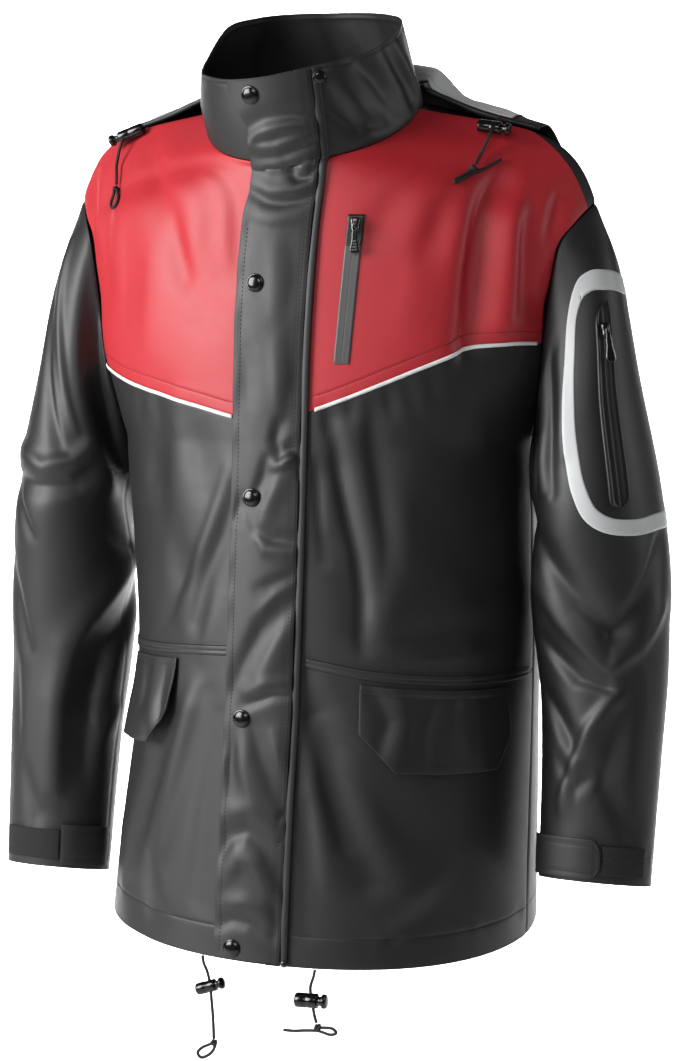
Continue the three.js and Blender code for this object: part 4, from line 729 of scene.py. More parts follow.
grey_cloth = trim("light_grey_cloth", (0.76, 0.77, 0.775), 0.42, 0.55, 0.8, 0.05, 0.05)
welded_tape = trim("grey_welded_tape", (0.085, 0.083, 0.084), 0.30, 0.42, 1.3, 0.05)
zip_tape = trim("black_zip_tape", (0.0130, 0.0130, 0.0140), 0.30, 0.42, 1.1, 0.05)
gloss_plastic = trim("black_gloss_plastic", (0.0045, 0.0045, 0.005), 0.10, 0.20, 2.5, 0.015, 0.2)
lacquer = trim("black_lacquered_metal", (0.006, 0.006, 0.007), 0.14, 0.26, 1.6, 0.02, 0.2, Metallic=0.0,
               Coat_Weight=0.6)
black_thread = trim("black_thread", (0.006, 0.006, 0.0065), 0.55, 0.75, 0.3, 0.05, 0.25)
# The yoke's thread is much darker than the red cloth: it is real thread, with the painted shade of the seam's groove
# in its colour.
yoke_thread_and_seam_shade = trim("dark_red_thread", (0.16, 0.008, 0.012), 0.5, 0.7, 0.3, 0.05, 0.2)
grey_thread = trim("light_grey_thread", (0.42, 0.43, 0.435), 0.55, 0.75, 0.3, 0.05, 0.1)


def beaded(name, colour):
    f = Finish(name)
    beads, broad = f.cells(0.7), f.noise(20, 3)
    base = f.blend((0.5 * beads + 0.5 * broad).kept(), shade_of(colour, 1.06), shade_of(colour, 0.9))
    return f.shade(Base_Color=base, Roughness=0.42 + 0.14 * broad, Normal=f.bump(1 - beads, 0.5, 0.05))


def woven(name, colour, pitch, depth, rough):
    f = Finish(name)
    u, v = f.along()
    weave = 0.5 + 0.5 * (u * (6.283 / pitch)).sine() * (v * (6.283 / pitch)).sine()
    soil = f.noise(5, 3)
    base = f.blend((0.5 * weave + 0.5 * soil).kept(), shade_of(colour, 0.88), shade_of(colour, 1.06))
    return f.shade(Base_Color=base, Roughness=rough + 0.1 * soil, Normal=f.bump(weave, 0.5, depth))


def hooked(name, colour):
    f = Finish(name)
    stems, fluff = f.cells(1.15), f.noise(2.4, 3)
    tip = (1 - 2.2 * stems).kept()
    base = f.blend((0.7 * tip + 0.3 * fluff).kept(), shade_of(colour, 0.5), shade_of(colour, 2.4))
    return f.shade(Base_Color=base, Roughness=0.72 + 0.2 * fluff, Normal=f.bump(tip, 0.9, 0.5))


def braided(name, colour):
    f = Finish(name)
    u, v = f.along()
    strands = ((u * 2.6 + v * 3.0).sine() * (u * 2.6 - v * 3.0).sine() * 0.5 + 0.5).kept()
    fuzz = f.noise(0.5, 2)
    base = f.blend((0.7 * strands + 0.3 * fuzz).kept(), shade_of(colour, 0.5), shade_of(colour, 2.0))
    return f.shade(Base_Color=base, Roughness=0.6 + 0.2 * fuzz, Normal=f.bump(strands, 0.8, 0.25))


bead_band = beaded("light_grey_band", (0.60, 0.615, 0.62))
piping_white = woven("white_piping", (0.80, 0.81, 0.81), 0.9, 0.06, 0.5)
hook_fabric = hooked("black_hook_fabric", (0.009, 0.009, 0.009))
cord_braid = braided("black_cord", (0.008, 0.008, 0.008))
print(len(bpy.data.materials), "finishes")

# %% [markdown]
# ## From a grid of points to a piece of cloth
#
# Each panel is a grid of points. The grid becomes one smooth sheet, and a Solidify modifier gives it
# the thickness of coated cloth, with the knit on its inner face. Two things are stored with the
# sheet: its own flat coordinates in metres, for weaves, and how near each point is to a cut edge.

# %% Sheet tools
def normals(points, loop=False, flip=False):
    du = np.roll(points, -1, 0) - np.roll(points, 1, 0) if loop else np.gradient(points, axis=0)
    n = unit(np.cross(du, np.gradient(points, axis=1)))
    return -n if flip else n


def lengths(points, axis):
    """How far each point lies from the first along its own row, in millimetres."""
    step = np.linalg.norm(np.diff(points, axis=axis), axis=-1)
    pad = [(0, 0), (0, 0)]
    pad[axis] = (1, 0)
    return np.pad(np.cumsum(step, axis=axis), pad)


def write_mesh(name, points, faces, finishes, cut=None, edge=None):
    mesh = bpy.data.meshes.new(name)
    faces = faces if isinstance(faces, list) else faces.tolist()
    mesh.from_pydata((np.asarray(points) / 1000).tolist(), [], faces)
    for finish in finishes:
        mesh.materials.append(finish)
    mesh.shade_smooth()
    if cut is not None:
        corner = np.zeros(len(mesh.loops), np.int32)
        mesh.loops.foreach_get("vertex_index", corner)
        flat = (np.asarray(cut)[corner] / 1000).astype(np.float32).ravel()
        mesh.uv_layers.new(name="cut").data.foreach_set("uv", flat)
    if edge is not None:
        mesh.attributes.new("edge", "FLOAT", "POINT").data.foreach_set("value", np.asarray(edge, np.float32))
    made = bpy.data.objects.new(name, mesh)
    bpy.context.scene.collection.objects.link(made)
    return made


def settle(made, slot, body="coat", stands_for=()):
    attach(made, body)
    if stands_for:
        made.name = made.data.name = made.name.split(".")[0] + "_looks"
        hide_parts(*stands_for)
    return made


def grid_faces(ni, nj, loop=False, flip=False):
    index = np.arange(ni * nj).reshape(ni, nj)
    ahead_of = np.roll(index, -1, axis=0) if loop else index[1:]
    here = index if loop else index[:-1]
    quads = np.stack([here[:, :-1], ahead_of[:, :-1], ahead_of[:, 1:], here[:, 1:]], axis=-1).reshape(-1, 4)
    return quads[:, ::-1] if flip else quads


def thicken(made, thick, rounded=0.0):
    wall = made.modifiers.new("thickness of the cloth", "SOLIDIFY")
    wall.thickness, wall.offset = thick / 1000, 0.0
    if len(made.data.materials) > 1:
        wall.material_offset = 1
    if rounded:
        soft = made.modifiers.new("rounded edge", "BEVEL")
        soft.width, soft.segments = rounded / 1000, 2
        soft.limit_method, soft.angle_limit = "ANGLE", math.radians(55)


def cloth(name, points, slot="black_coated_cloth", finishes=(black_cloth, black_cloth), thick=1.0, loop=False,
          flip=False, rounded=0.0):
    """One sheet of cloth on a grid of points (in millimetres), as a thin wall."""
    ni, nj = points.shape[:2]
    far_u, far_v = lengths(points, 0), lengths(points, 1)
    near = np.minimum(far_v, far_v[:, -1:] - far_v)
    if not loop:
        near = np.minimum(near, np.minimum(far_u, far_u[-1:] - far_u))
    cut = np.stack([far_u, far_v], axis=-1).reshape(-1, 2)
    made = write_mesh(name, points.reshape(-1, 3), grid_faces(ni, nj, loop, flip), finishes, cut,
                      np.exp(-(near / WORN_EDGE) ** 2).ravel())
    thicken(made, thick, rounded)
    return settle(made, slot, stands_for=(name,))


def flat_size(points, loop=False):
    """The width and length that a sheet was cut to, and its area, from its grid: metres."""
    ring = np.concatenate([points, points[:1]]) if loop else points
    width = np.linalg.norm(np.diff(ring, axis=0), axis=-1).sum(0).max() / 1000
    length = np.linalg.norm(np.diff(ring, axis=1), axis=-1).sum(1).max() / 1000
    a, b = ring[1:, 1:] - ring[:-1, :-1], ring[1:, :-1] - ring[:-1, 1:]
    area = 0.5 * np.linalg.norm(np.cross(a, b), axis=-1).sum() / 1e6
    return width, length, area


WORN_EDGE = 2.2


def cut_from(made, points, loop=False):
    width, length, area = flat_size(points, loop)
    share = area / (width * length)
    area if share < 0.97 else None
    print(f"{made.name}: cut {width * 1000:.0f} by {length * 1000:.0f} mm, {area * 1e4:.0f} square cm")


def seam_dip(distance, deep=0.7, wide=1.5):
    """How far cloth is pulled in at a distance from its seam."""
    return -deep * np.exp(-(distance / wide) ** 2)


print("sheet tools ready")

# %% [markdown]
# ## Stitches, cords and turned pieces
#
# A line of stitches is a row of short threads that dive into the cloth, so each one is modelled as a
# small spindle laid on the surface. Cords are round tubes along a smooth line. Caps and barrels are
# turned, as on a lathe, from a profile.

# %% Stitches, tubes, turned pieces
SPINDLE = [(0, 0), (0.28, 0.85), (0.5, 1.0), (0.72, 0.85), (1, 0)]


def stitches(name, line, outward, pitch, long, thick, lift, finish=black_thread, slot="black_coated_cloth"):
    """A row of stitches along a line of points that lies on the cloth, with the cloth's normals."""
    line, outward = np.asarray(line, float), unit(np.asarray(outward, float))
    far = np.concatenate([[0], np.cumsum(np.linalg.norm(np.diff(line, axis=0), axis=1))])
    count = int(far[-1] // pitch)
    starts = np.arange(count) * pitch + (far[-1] - count * pitch) / 2
    points, faces = [], []
    for s in starts:
        a, b, n = ([np.interp(q, far, source[:, k]) for k in range(3)]
                   for q, source in ((s, line), (s + long, line), (s + long / 2, outward)))
        a, b, n = np.array(a), np.array(b), unit(np.array(n))
        lead = unit(b - a)
        across = np.cross(n, lead)
        first = len(points)
        points.append(a + n * (lift - thick * 1.2))
        for t, size in SPINDLE[1:-1]:
            middle = a + (b - a) * t + n * (lift - thick * 1.2 * (1 - size))
            for u, w in ((1, 0), (0.3, 0.9), (-0.3, 0.9), (-1, 0)):
                points.append(middle + across * u * thick * size + n * w * thick * size)
        points.append(b + n * (lift - thick * 1.2))
        last = len(points) - 1
        for k in range(3):
            faces.append([first, first + 1 + k, first + 2 + k])
            faces.append([last, first + 10 + k, first + 9 + k])
            for ring in range(2):
                p = first + 1 + ring * 4 + k
                faces.append([p, p + 4, p + 5, p + 1])
    return settle(write_mesh(name, points, faces, [finish]), slot)


def tube(name, line, radius, finish, slot, sides=12, closed=False, stands_for=(), swell=None):
    """A round tube along a line of points, with its own coordinates along and around it."""
    line = np.asarray(line, float)
    lead = unit(np.gradient(line, axis=0))
    if closed:
        lead = unit(np.roll(line, -1, 0) - np.roll(line, 1, 0))
    across = np.zeros_like(lead)
    seed = np.cross(lead[0], (0.3, 0.2, 0.9))
    for k, direction in enumerate(lead):
        seed = seed - direction * (seed @ direction)
        across[k] = seed = seed / np.linalg.norm(seed)
    other = np.cross(lead, across)
    angle = np.arange(sides + 1) / sides * 2 * np.pi
    size = radius * (np.ones(len(line)) if swell is None else swell)[:, None, None]
    c, s = np.cos(angle)[None, :, None], np.sin(angle)[None, :, None]
    rings = line[:, None] + size * (across[:, None] * c + other[:, None] * s)
    far = np.concatenate([[0], np.cumsum(np.linalg.norm(np.diff(line, axis=0), axis=1))])
    n = len(line)
    cut = np.stack(np.broadcast_arrays(far[:, None], (angle * radius)[None]), axis=-1)[:, :sides].reshape(-1, 2)
    points = rings[:, :sides].reshape(-1, 3)
    faces = []
    for k in range(n if closed else n - 1):
        for m in range(sides):
            a, b = k * sides + m, k * sides + (m + 1) % sides
            c, d = ((k + 1) % n) * sides + (m + 1) % sides, ((k + 1) % n) * sides + m
            faces.append([a, b, c, d])
    if not closed:
        points = np.vstack([points, line[:1] - lead[:1] * radius * 0.4, line[-1:] + lead[-1:] * radius * 0.4])
        cut = np.vstack([cut, [[0, 0], [far[-1], 0]]])
        head = len(points) - 2
        for m in range(sides):
            faces.append([head, (m + 1) % sides, m])
            faces.append([head + 1, (n - 1) * sides + m, (n - 1) * sides + (m + 1) % sides])
    return settle(write_mesh(name, points, faces, [finish], cut), slot, stands_for=stands_for)


def frame_of(o, axis, upward=None):
    z = unit(np.asarray(axis, float))
    helper = upward if upward is not None else ((0, 0, 1) if abs(z[2]) < 0.9 else (1, 0, 0))
    x = unit(np.cross(helper, z))
    return np.asarray(o, float), x, np.cross(z, x), z


def turned(name, profile, seat, finish, slot, sides=32, stands_for=()):
    """A piece turned from a profile of (radius, height) on a seat: its place and three directions."""
    o, x, y, z = seat
    points, faces = [], []
    angle = np.arange(sides) / sides * 2 * np.pi
    starts = []
    for r, h in profile:
        starts.append(len(points))
        if r < 1e-6:
            points.append(o + z * h)
        else:
            points += list(o + np.outer(np.cos(angle) * r, x) + np.outer(np.sin(angle) * r, y) + z * h)
    for k in range(len(profile) - 1):
        a, b = starts[k], starts[k + 1]
        flat_a, flat_b = profile[k][0] < 1e-6, profile[k + 1][0] < 1e-6
        for m in range(sides):
            n = (m + 1) % sides
            if flat_a and not flat_b:
                faces.append([a, b + n, b + m])
            elif flat_b and not flat_a:
                faces.append([a + m, a + n, b])
            elif not flat_a and not flat_b:
                faces.append([a + m, a + n, b + n, b + m])
    return settle(write_mesh(name, points, faces, [finish]), slot, stands_for=stands_for)


print("stitch, tube and turning tools ready")

# %% [markdown]
# ## Cords
#
# Four short cords hang from the coat: two out of the hem and two out of the hood's face edge. Each one
# runs through a barrel lock, ends in a knot, and has a loop or tails below it. A cord lies where its
# solid lies, so the same points are used here, and its length is measured along that line.

# %% Cord routes
CORD_R = 1.5
CORDS = {
    "hem_right": {
        "cord": [(-46, -161.9, -783.9), (-45.5, -160.6, -791), (-42.5, -159, -800), (-39.5, -159, -813.5),
                 (-38.5, -159, -826), (-37, -159, -845), (-36.3, -159, -864.6)],
        "lock": ((-39.5, -159, -813.5), (30, 0, 11), 29, 4.6), "knot": ((-36.3, -159, -868.5), 3.4),
        "loop": [(-38, -159, -869.4), (-42.5, -160, -871.6), (-48, -161, -874.6), (-52, -161.4, -879.6),
                 (-49, -161.2, -884), (-43, -160.2, -882), (-37.6, -159.2, -877), (-34.8, -159, -870.6)],
    },
    "hem_left": {
        "cord": [(67.4, -160.9, -784.3), (66, -160.9, -791), (63, -161, -801), (63.5, -161, -809), (65, -161, -817),
                 (67, -161, -828), (69, -161, -834.5)],
        "lock": ((63.8, -161, -814), (30, 0, 1.6), 31, 5.6), "knot": ((70.4, -161, -838.6), 3.6),
        "loop": [(70, -161, -839.5), (77, -162, -838), (86, -163, -837.6), (89.5, -163, -841), (84, -163, -843.6),
                 (72, -162, -842), (58, -161, -843.5), (46, -161, -845.5), (36, -161, -845.8)],
    },
    "hood_right": {
        "cord": [(-198.6, 30, -12.6), (-202, 19, -17), (-204, 8, -26), on_front(-204, -52, 6),
                 on_front(-200.5, -62, 5.5), on_front(-199, -70, 4.8)],
        "lock": ((-202.5, 14, -20.5), (-39, -2, -14.5), 38, 4.6), "knot": (on_front(-198.6, -74.5, 4.8), 3.4),
        "loop": [on_front(x, z, h) for x, z, h in (
            (-200.4, -75.6, 4.6), (-203, -82, 3.2), (-203, -88, 3.2), (-198, -92.5, 3.2), (-192.5, -89, 3.2),
            (-193, -82, 3.2), (-196.8, -75.8, 4.6))],
    },
    "hood_left": {
        "cord": [(178, 23.5, -5.5), (180, 15, -6.5), (182.2, 6.9, -10.2), (181.6, -1.5, -15.6), (181, -9.9, -21),
                 on_front(172, -42, 5.5), on_front(169.5, -50, 5)],
        "lock": ((181.6, -1.5, -15.6), (30, 1, -4), 31, 4.8), "knot": (on_front(168, -55.2, 5), 3.6),
        "loop": [on_front(x, z, h) for x, z, h in (
            (167.6, -56.5, 4.6), (162, -61.2, 3.4), (157, -65.4, 3.2), (157.4, -67.4, 3.2), (163, -63.6, 3.2),
            (170, -58.4, 3.2), (179, -53, 3.2), (189, -46, 3.2))],
    },
}
print("cord routes:", ", ".join(CORDS))

# %% Cords, locks and knots
def lock_profile(h, r):
    """The profile of a barrel lock, from its plain end to the plunger's flange."""
    return [(0, -h), (r * 0.62, -h), (r * 0.84, -h + 0.25), (r * 0.96, -h + 0.8), (r, -h + 1.7), (r, -h * 0.3),
            (r * 0.97, -h * 0.27), (r * 0.97, -h * 0.2), (r, -h * 0.17), (r, h * 0.36), (r * 0.95, h * 0.41),
            (r * 0.8, h * 0.43), (r * 0.66, h * 0.44), (r * 0.62, h * 0.5), (r * 0.62, h * 0.68), (r * 0.7, h * 0.71),
            (r * 0.9, h * 0.73), (r * 0.97, h * 0.76), (r * 0.97, h * 0.9), (r * 0.88, h * 0.96), (r * 0.66, h),
            (0, h)]


def knot_points(at, r, lead):
    """An overhand knot: the cord goes twice round itself, as one closed line."""
    o, x, y, z = frame_of(at, lead)
    t = np.linspace(0, 2 * np.pi, 60, endpoint=False)
    ring = r * 0.5 * (1 + 0.36 * np.cos(3 * t))
    return (o + np.outer(ring * np.cos(2 * t), x) + np.outer(ring * np.sin(2 * t), y)
            + np.outer(r * 0.42 * np.sin(3 * t), z))


for name, parts in CORDS.items():
    line = smooth_line(parts["cord"], 60)
    cord = tube(name + "_cord", line, CORD_R, cord_braid, "black_cord", stands_for=(name + "_cord",))
    middle, axis, long, r = parts["lock"]
    lock = turned(name + "_lock", lock_profile(long / 2, r * 1.25), frame_of(middle, axis), gloss_plastic,
                  "black_gloss_plastic", stands_for=(name + "_lock",))
    at, size = parts["knot"]
    knot = tube(name + "_knot", knot_points(at, size, line[-1] - line[-6]), size * 0.42, cord_braid, "black_cord", 10,
                closed=True, stands_for=(name + "_knot",))
    loop = tube(name + "_loop", smooth_line(parts["loop"], 60), CORD_R, cord_braid, "black_cord", 10)
    length = float(np.linalg.norm(np.diff(line, axis=0), axis=1).sum()) / 1000
    print(f"{name} cord: {length * 1000:.0f} mm from its exit to its knot")

# %% [markdown]
# ## Chest, body and skirt panels
#
# The front is cut in three on each side: a red yoke, a black body and a black skirt. The seams between
# them are curves, so each panel's rows are stretched to follow them. Near a seam the rows lie close
# together, and the cloth is drawn in a little there, which gives the seam its dark line.

# %% Seam lines
PIPE = {"out": [0, 0.14, 0.27, 0.41, 0.6, 0.8, 1], 1: [506, 522, 537, 552, 569, 577, 580],
        -1: [491, 500, 510, 519, 529, 539, 545]}
WAIST_SEAM = {"out": [0, 0.1, 0.25, 0.5, 0.75, 1], 1: [282, 277, 270, 264, 261, 260],
              -1: [288, 287, 284, 277, 272, 270]}
WORD = {1: "left", -1: "right"}
HEM, CUFF_HEM = 28, 23


def pipe_at(side, out):
    return column(PIPE["out"], PIPE[side], out)


def waist_at(side, out):
    return column(WAIST_SEAM["out"], WAIST_SEAM[side], out)


def drawn_in(points, amount):
    """Cloth moved towards the upright axis of the coat by amount (below zero) or away from it."""
    x, y = points[..., 0], points[..., 1] - AXIS_Y
    r = np.hypot(x, y)
    return points + point(x / r * amount, y / r * amount, 0)


def seam_line(side, outs, at, lift):
    """Points and normals on the front along a line: places out, and at up from the hem."""
    p = torso("front", side, outs, at)
    n = unit(np.cross(torso("front", side, outs + 0.002, at) - p, torso("front", side, outs, at + 0.5) - p)) * side
    return p + n * lift, n


def eased(points, at, outs, wide=250.0, times=40):
    """The bend where the chest turns into the shoulder, made rounder by a running mean up the cloth."""
    near = np.exp(-((at - NECK) / 42.0) ** 2) * clamp((outs * wide - 6) / 40)
    points = points.copy()
    for _ in range(times):
        points[:, 1:-1] += (near[:, 1:-1] * 0.5)[..., None] * (points[:, :-2] + points[:, 2:] - 2 * points[:, 1:-1])
    return points


print("the piping meets the armholes", pipe_at(1, 1.0), "and", pipe_at(-1, 1.0), "mm up")

# %% Front panels
for side in (1, -1):
    word, flip = WORD[side], side < 0
    wide = 240.0
    outs = clamp(places(0, wide, 3.2) / wide, 0.0006, 0.9994)[:, None]

    rows = places(0, WAIST, 3.2, HEM)[None]
    points = torso("front", side, outs, rows / WAIST * (waist_at(side, outs) - 0.1))
    pucker = 0.35 * np.sin(outs * wide / 5.1 + 1.7 * np.sin(outs * 19)) * np.exp(-((rows - HEM) / 9.0) ** 2)
    dip = seam_dip(WAIST - rows) + seam_dip(rows - HEM, 0.45, 1.1) + seam_dip((1 - outs) * wide, 0.8) + pucker
    skirt = cloth("skirt_" + word, drawn_in(points, dip), "black_coated_cloth", [black_cloth, backing], flip=flip)
    cut_from(skirt, points)

    low, high = waist_at(side, outs) + 0.1, pipe_at(side, outs) - 0.1
    rows = places(0, 230, 3.2)[None] / 230
    at = np.where(rows < 0.8, mix(low, ARMPIT - 30, rows / 0.8), mix(ARMPIT - 30, high, (rows - 0.8) / 0.2))
    points = torso("front", side, outs, at)
    dip = seam_dip(at - low) + seam_dip(high - at) + seam_dip((1 - outs) * wide, 0.8)
    body = cloth("front_" + word, drawn_in(points, dip), "black_coated_cloth", [black_cloth, backing], flip=flip)
    cut_from(body, points)

    low = pipe_at(side, outs) + 0.1
    rows = np.concatenate([places(0, 24, 2.6, 12.5), np.arange(27, 300, 3.2)])
    low_rows = rows[rows <= 24][None]
    strip = 0.8 + 20 * clamp((outs - 0.55) / 0.45) ** 0.8 * (side > 0)
    upper = np.linspace(0, 1, 84)[1:]
    top = np.array([0.04, 0.2, 0.4, 0.6, 0.8, 0.97, 1.0])
    at = np.concatenate([low + low_rows, mix(low + 24, RIDGE - strip, upper[None]),
                         mix(RIDGE - strip, RIDGE - 0.3, top[None])], axis=1)
    points = eased(torso("front", side, outs, at), at, outs)
    dip = (seam_dip(at - low) + seam_dip(at - low - 12.5, 0.5, 1.1) + seam_dip((1 - outs) * wide, 0.9, 2.2)
           + seam_dip(outs * wide, 0.6) * (at > NECK - 4))
    yoke = cloth("front_yoke_" + word, drawn_in(points, dip), "red_coated_cloth", [red_cloth, backing], flip=flip)
    if side > 0:
        yoke.data.materials.append(black_cloth)
        rows_of = np.tile(np.arange(points.shape[1] - 1), points.shape[0] - 1)
        over = (rows_of >= points.shape[1] - 1 - len(top)) & (np.repeat(outs[:-1, 0], points.shape[1] - 1) > 0.58)
        yoke.data.polygons.foreach_set("material_index", np.where(over, 2, 0).astype(np.int32))
    cut_from(yoke, points)
    print(word, "front:", len(skirt.data.polygons) + len(body.data.polygons) + len(yoke.data.polygons), "faces")

# %% [markdown]
# ## Back
#
# The back is one piece of black cloth from shoulder to hem. Its halves share the middle line up to the
# neckline and part there, round the back of the neck. They are made as two grids and welded.

# %% Back panel
halves, cuts, edges, quads, total = [], [], [], [], 0
wide, back_width = 250.0, None
for side in (1, -1):
    outs = np.unique(np.concatenate([np.linspace(0, 1, 64), [0.988, 0.995, 0.9985]]))[:, None]
    outs = clamp(outs, 0, 0.9994)
    rows = np.unique(np.concatenate([np.linspace(0, NECK, 175), [1, 2.4, 26, 27, 28, 29, 30],
                                     np.linspace(NECK, RIDGE - 0.6, 42), [RIDGE - 1.4, RIDGE - 2.6]]))[None]
    points = torso("back", side, outs, rows)
    dip = (seam_dip(rows - HEM, 0.45, 1.1) + seam_dip((1 - outs) * wide, 0.8) + seam_dip(RIDGE - rows, 0.8)
           + seam_dip(outs * wide, 0.6) * (rows > NECK))
    points = drawn_in(eased(points, rows + 0 * outs, outs), dip)
    u, v = lengths(points, 0) * side, lengths(points, 1)
    near = np.minimum(np.minimum(v, v[:, -1:] - v), np.abs(u[-1:] - u))
    quads.append(grid_faces(*points.shape[:2], flip=side > 0) + total)
    halves.append(points.reshape(-1, 3))
    cuts.append(np.stack([u + 500, v], axis=-1).reshape(-1, 2))
    edges.append(np.exp(-(near / WORN_EDGE) ** 2).ravel())
    total += len(halves[-1])
    back_width = (back_width or 0) + np.abs(u).max()
back = write_mesh("back", np.vstack(halves), np.vstack(quads), [black_cloth, backing], np.vstack(cuts),
                  np.concatenate(edges))
work = bmesh.new()
work.from_mesh(back.data)
bmesh.ops.remove_doubles(work, verts=work.verts, dist=2e-6)
work.to_mesh(back.data)
work.free()
back.data.shade_smooth()
thicken(back, 1.0)
settle(back, "black_coated_cloth", stands_for=("back",))
full = sum(p.area for p in back.data.polygons)
back_long = float(lengths(points, 1).max()) / 1000
print("back: cut", round(back_width), "by", round(back_long * 1000), "mm,", round(full * 1e4), "square cm")

# %% [markdown]
# ## Sleeves
#
# Each sleeve is one tube of black cloth with its seam under the arm. It sits into the armhole seam and
# hangs in a slightly bent pose, so its deepest creases lie at the inner elbow. The hem of the cuff is
# turned in and stitched.

# %% Sleeves
for side in (1, -1):
    word = WORD[side]
    turns = (np.arange(144) / 144)[:, None]
    offset = mix(0.0035, 0.03, np.sin(turns * np.pi) ** 4)
    close = [0.0015, 0.004, 0.008, 0.962, 0.9635, 0.965, 0.9985]
    downs = np.unique(np.concatenate([np.linspace(0, 1, 170), close]))[None]
    down = mix(offset, 1.0, downs)
    points = sleeve(side, turns, down)
    angle = turns * 2 * np.pi
    from_hem = (1 - down) * SLEEVE_LONG - CUFF_HEM
    dip = (seam_dip(downs * 620, 0.9, 3.0) + seam_dip(from_hem, 0.4, 1.3)
           + 0.3 * np.sin(turns * SLEEVE_ROUND / 4.6 + 2 * np.sin(turns * 31)) * np.exp(-(from_hem / 8) ** 2)
           + seam_dip((turns - 0.5) * SLEEVE_ROUND, 0.7, 2.4))
    points = points + point(side * np.cos(angle) * dip, -np.sin(angle) * dip, 0)
    arm = cloth("sleeve_" + word, points, "black_coated_cloth", [black_cloth, backing], loop=True, flip=side < 0)
    cut_from(arm, points, loop=True)

# %% [markdown]
# ## Collar
#
# The stand collar is doubled cloth. It leans forward and its rim is higher behind. The edge is a fold,
# so it is rounded with a small bevel, and one row of stitches runs a few millimetres below it.

# %% Collar
angles = np.linspace(JOINT_ANGLE + 0.004, JOINT_ANGLE - 0.004 + 2 * math.pi, 230)[:, None]
ups = np.unique(np.concatenate([np.linspace(0.02, 1, 30), [0.028, 0.036, 0.93, 0.945, 0.955, 0.985, 0.995]]))[None]
points = collar(angles, ups)
rim_dip = seam_dip((ups - 0.945) * 82, 0.45, 1.3) + seam_dip((ups - 0.02) * 82, 0.8, 2.0)
points = points + point(np.sin(angles) * rim_dip, -np.cos(angles) * rim_dip, 0)
stand = cloth("collar", points, thick=2.2, rounded=0.75)
cut_from(stand, points)
line_angles = np.linspace(JOINT_ANGLE + 0.06, JOINT_ANGLE + 2 * math.pi - 0.06, 260)
line = collar(line_angles, 0.945) + point(-np.sin(line_angles), np.cos(line_angles), 0) * 0.3
outward = point(np.sin(line_angles), -np.cos(line_angles), 0)
stitches("collar_top_stitches", line, outward, 3.6, 2.6, 0.3, 1.25)
stitches("collar_inner_stitches", line, -outward, 3.6, 2.6, 0.3, 0.75)

# %% [markdown]
# ## Storm flap and front zip
#
# The flap is two layers of cloth sewn to the wearer's left front. It crosses the zip and is held by
# snaps at its free edge. Between the snaps it buckles, and these small wrinkles are what makes the
# coat look soft. They follow the photograph: a deep fold under the collar, crescents over the hidden
# snaps, and arches where the flap is pushed up from below. A narrow binding covers its sewn edge.

# %% Flap edges
LAID, FLAP_WIDE = 1.5, 66
FLAP = {"z": [-784, -720, -500, -278, -200, -108, -50, -15, 0, 20, 34],
        "free": [-31, -30.5, -28.5, -29.5, -30, -26, -17, -19, -26, -34, -35],
        "sewn": [35, 34.8, 37, 36, 36.5, 40.5, 45, 44.5, 43.5, 41.5, 40.5]}


def flap_edge(name, z):
    return column(FLAP["z"], FLAP[name], z)


def rim_over(x):
    return column(RIM_TURN, RIM_Z, np.degrees(np.arcsin(clamp(x / 93.5, -1, 1))))


def to_rim(x, z):
    """Above the throat the flap's own height is stretched to end on the collar's rim."""
    return np.where(z > 0, z / 27 * (rim_over(x) - 1), z)


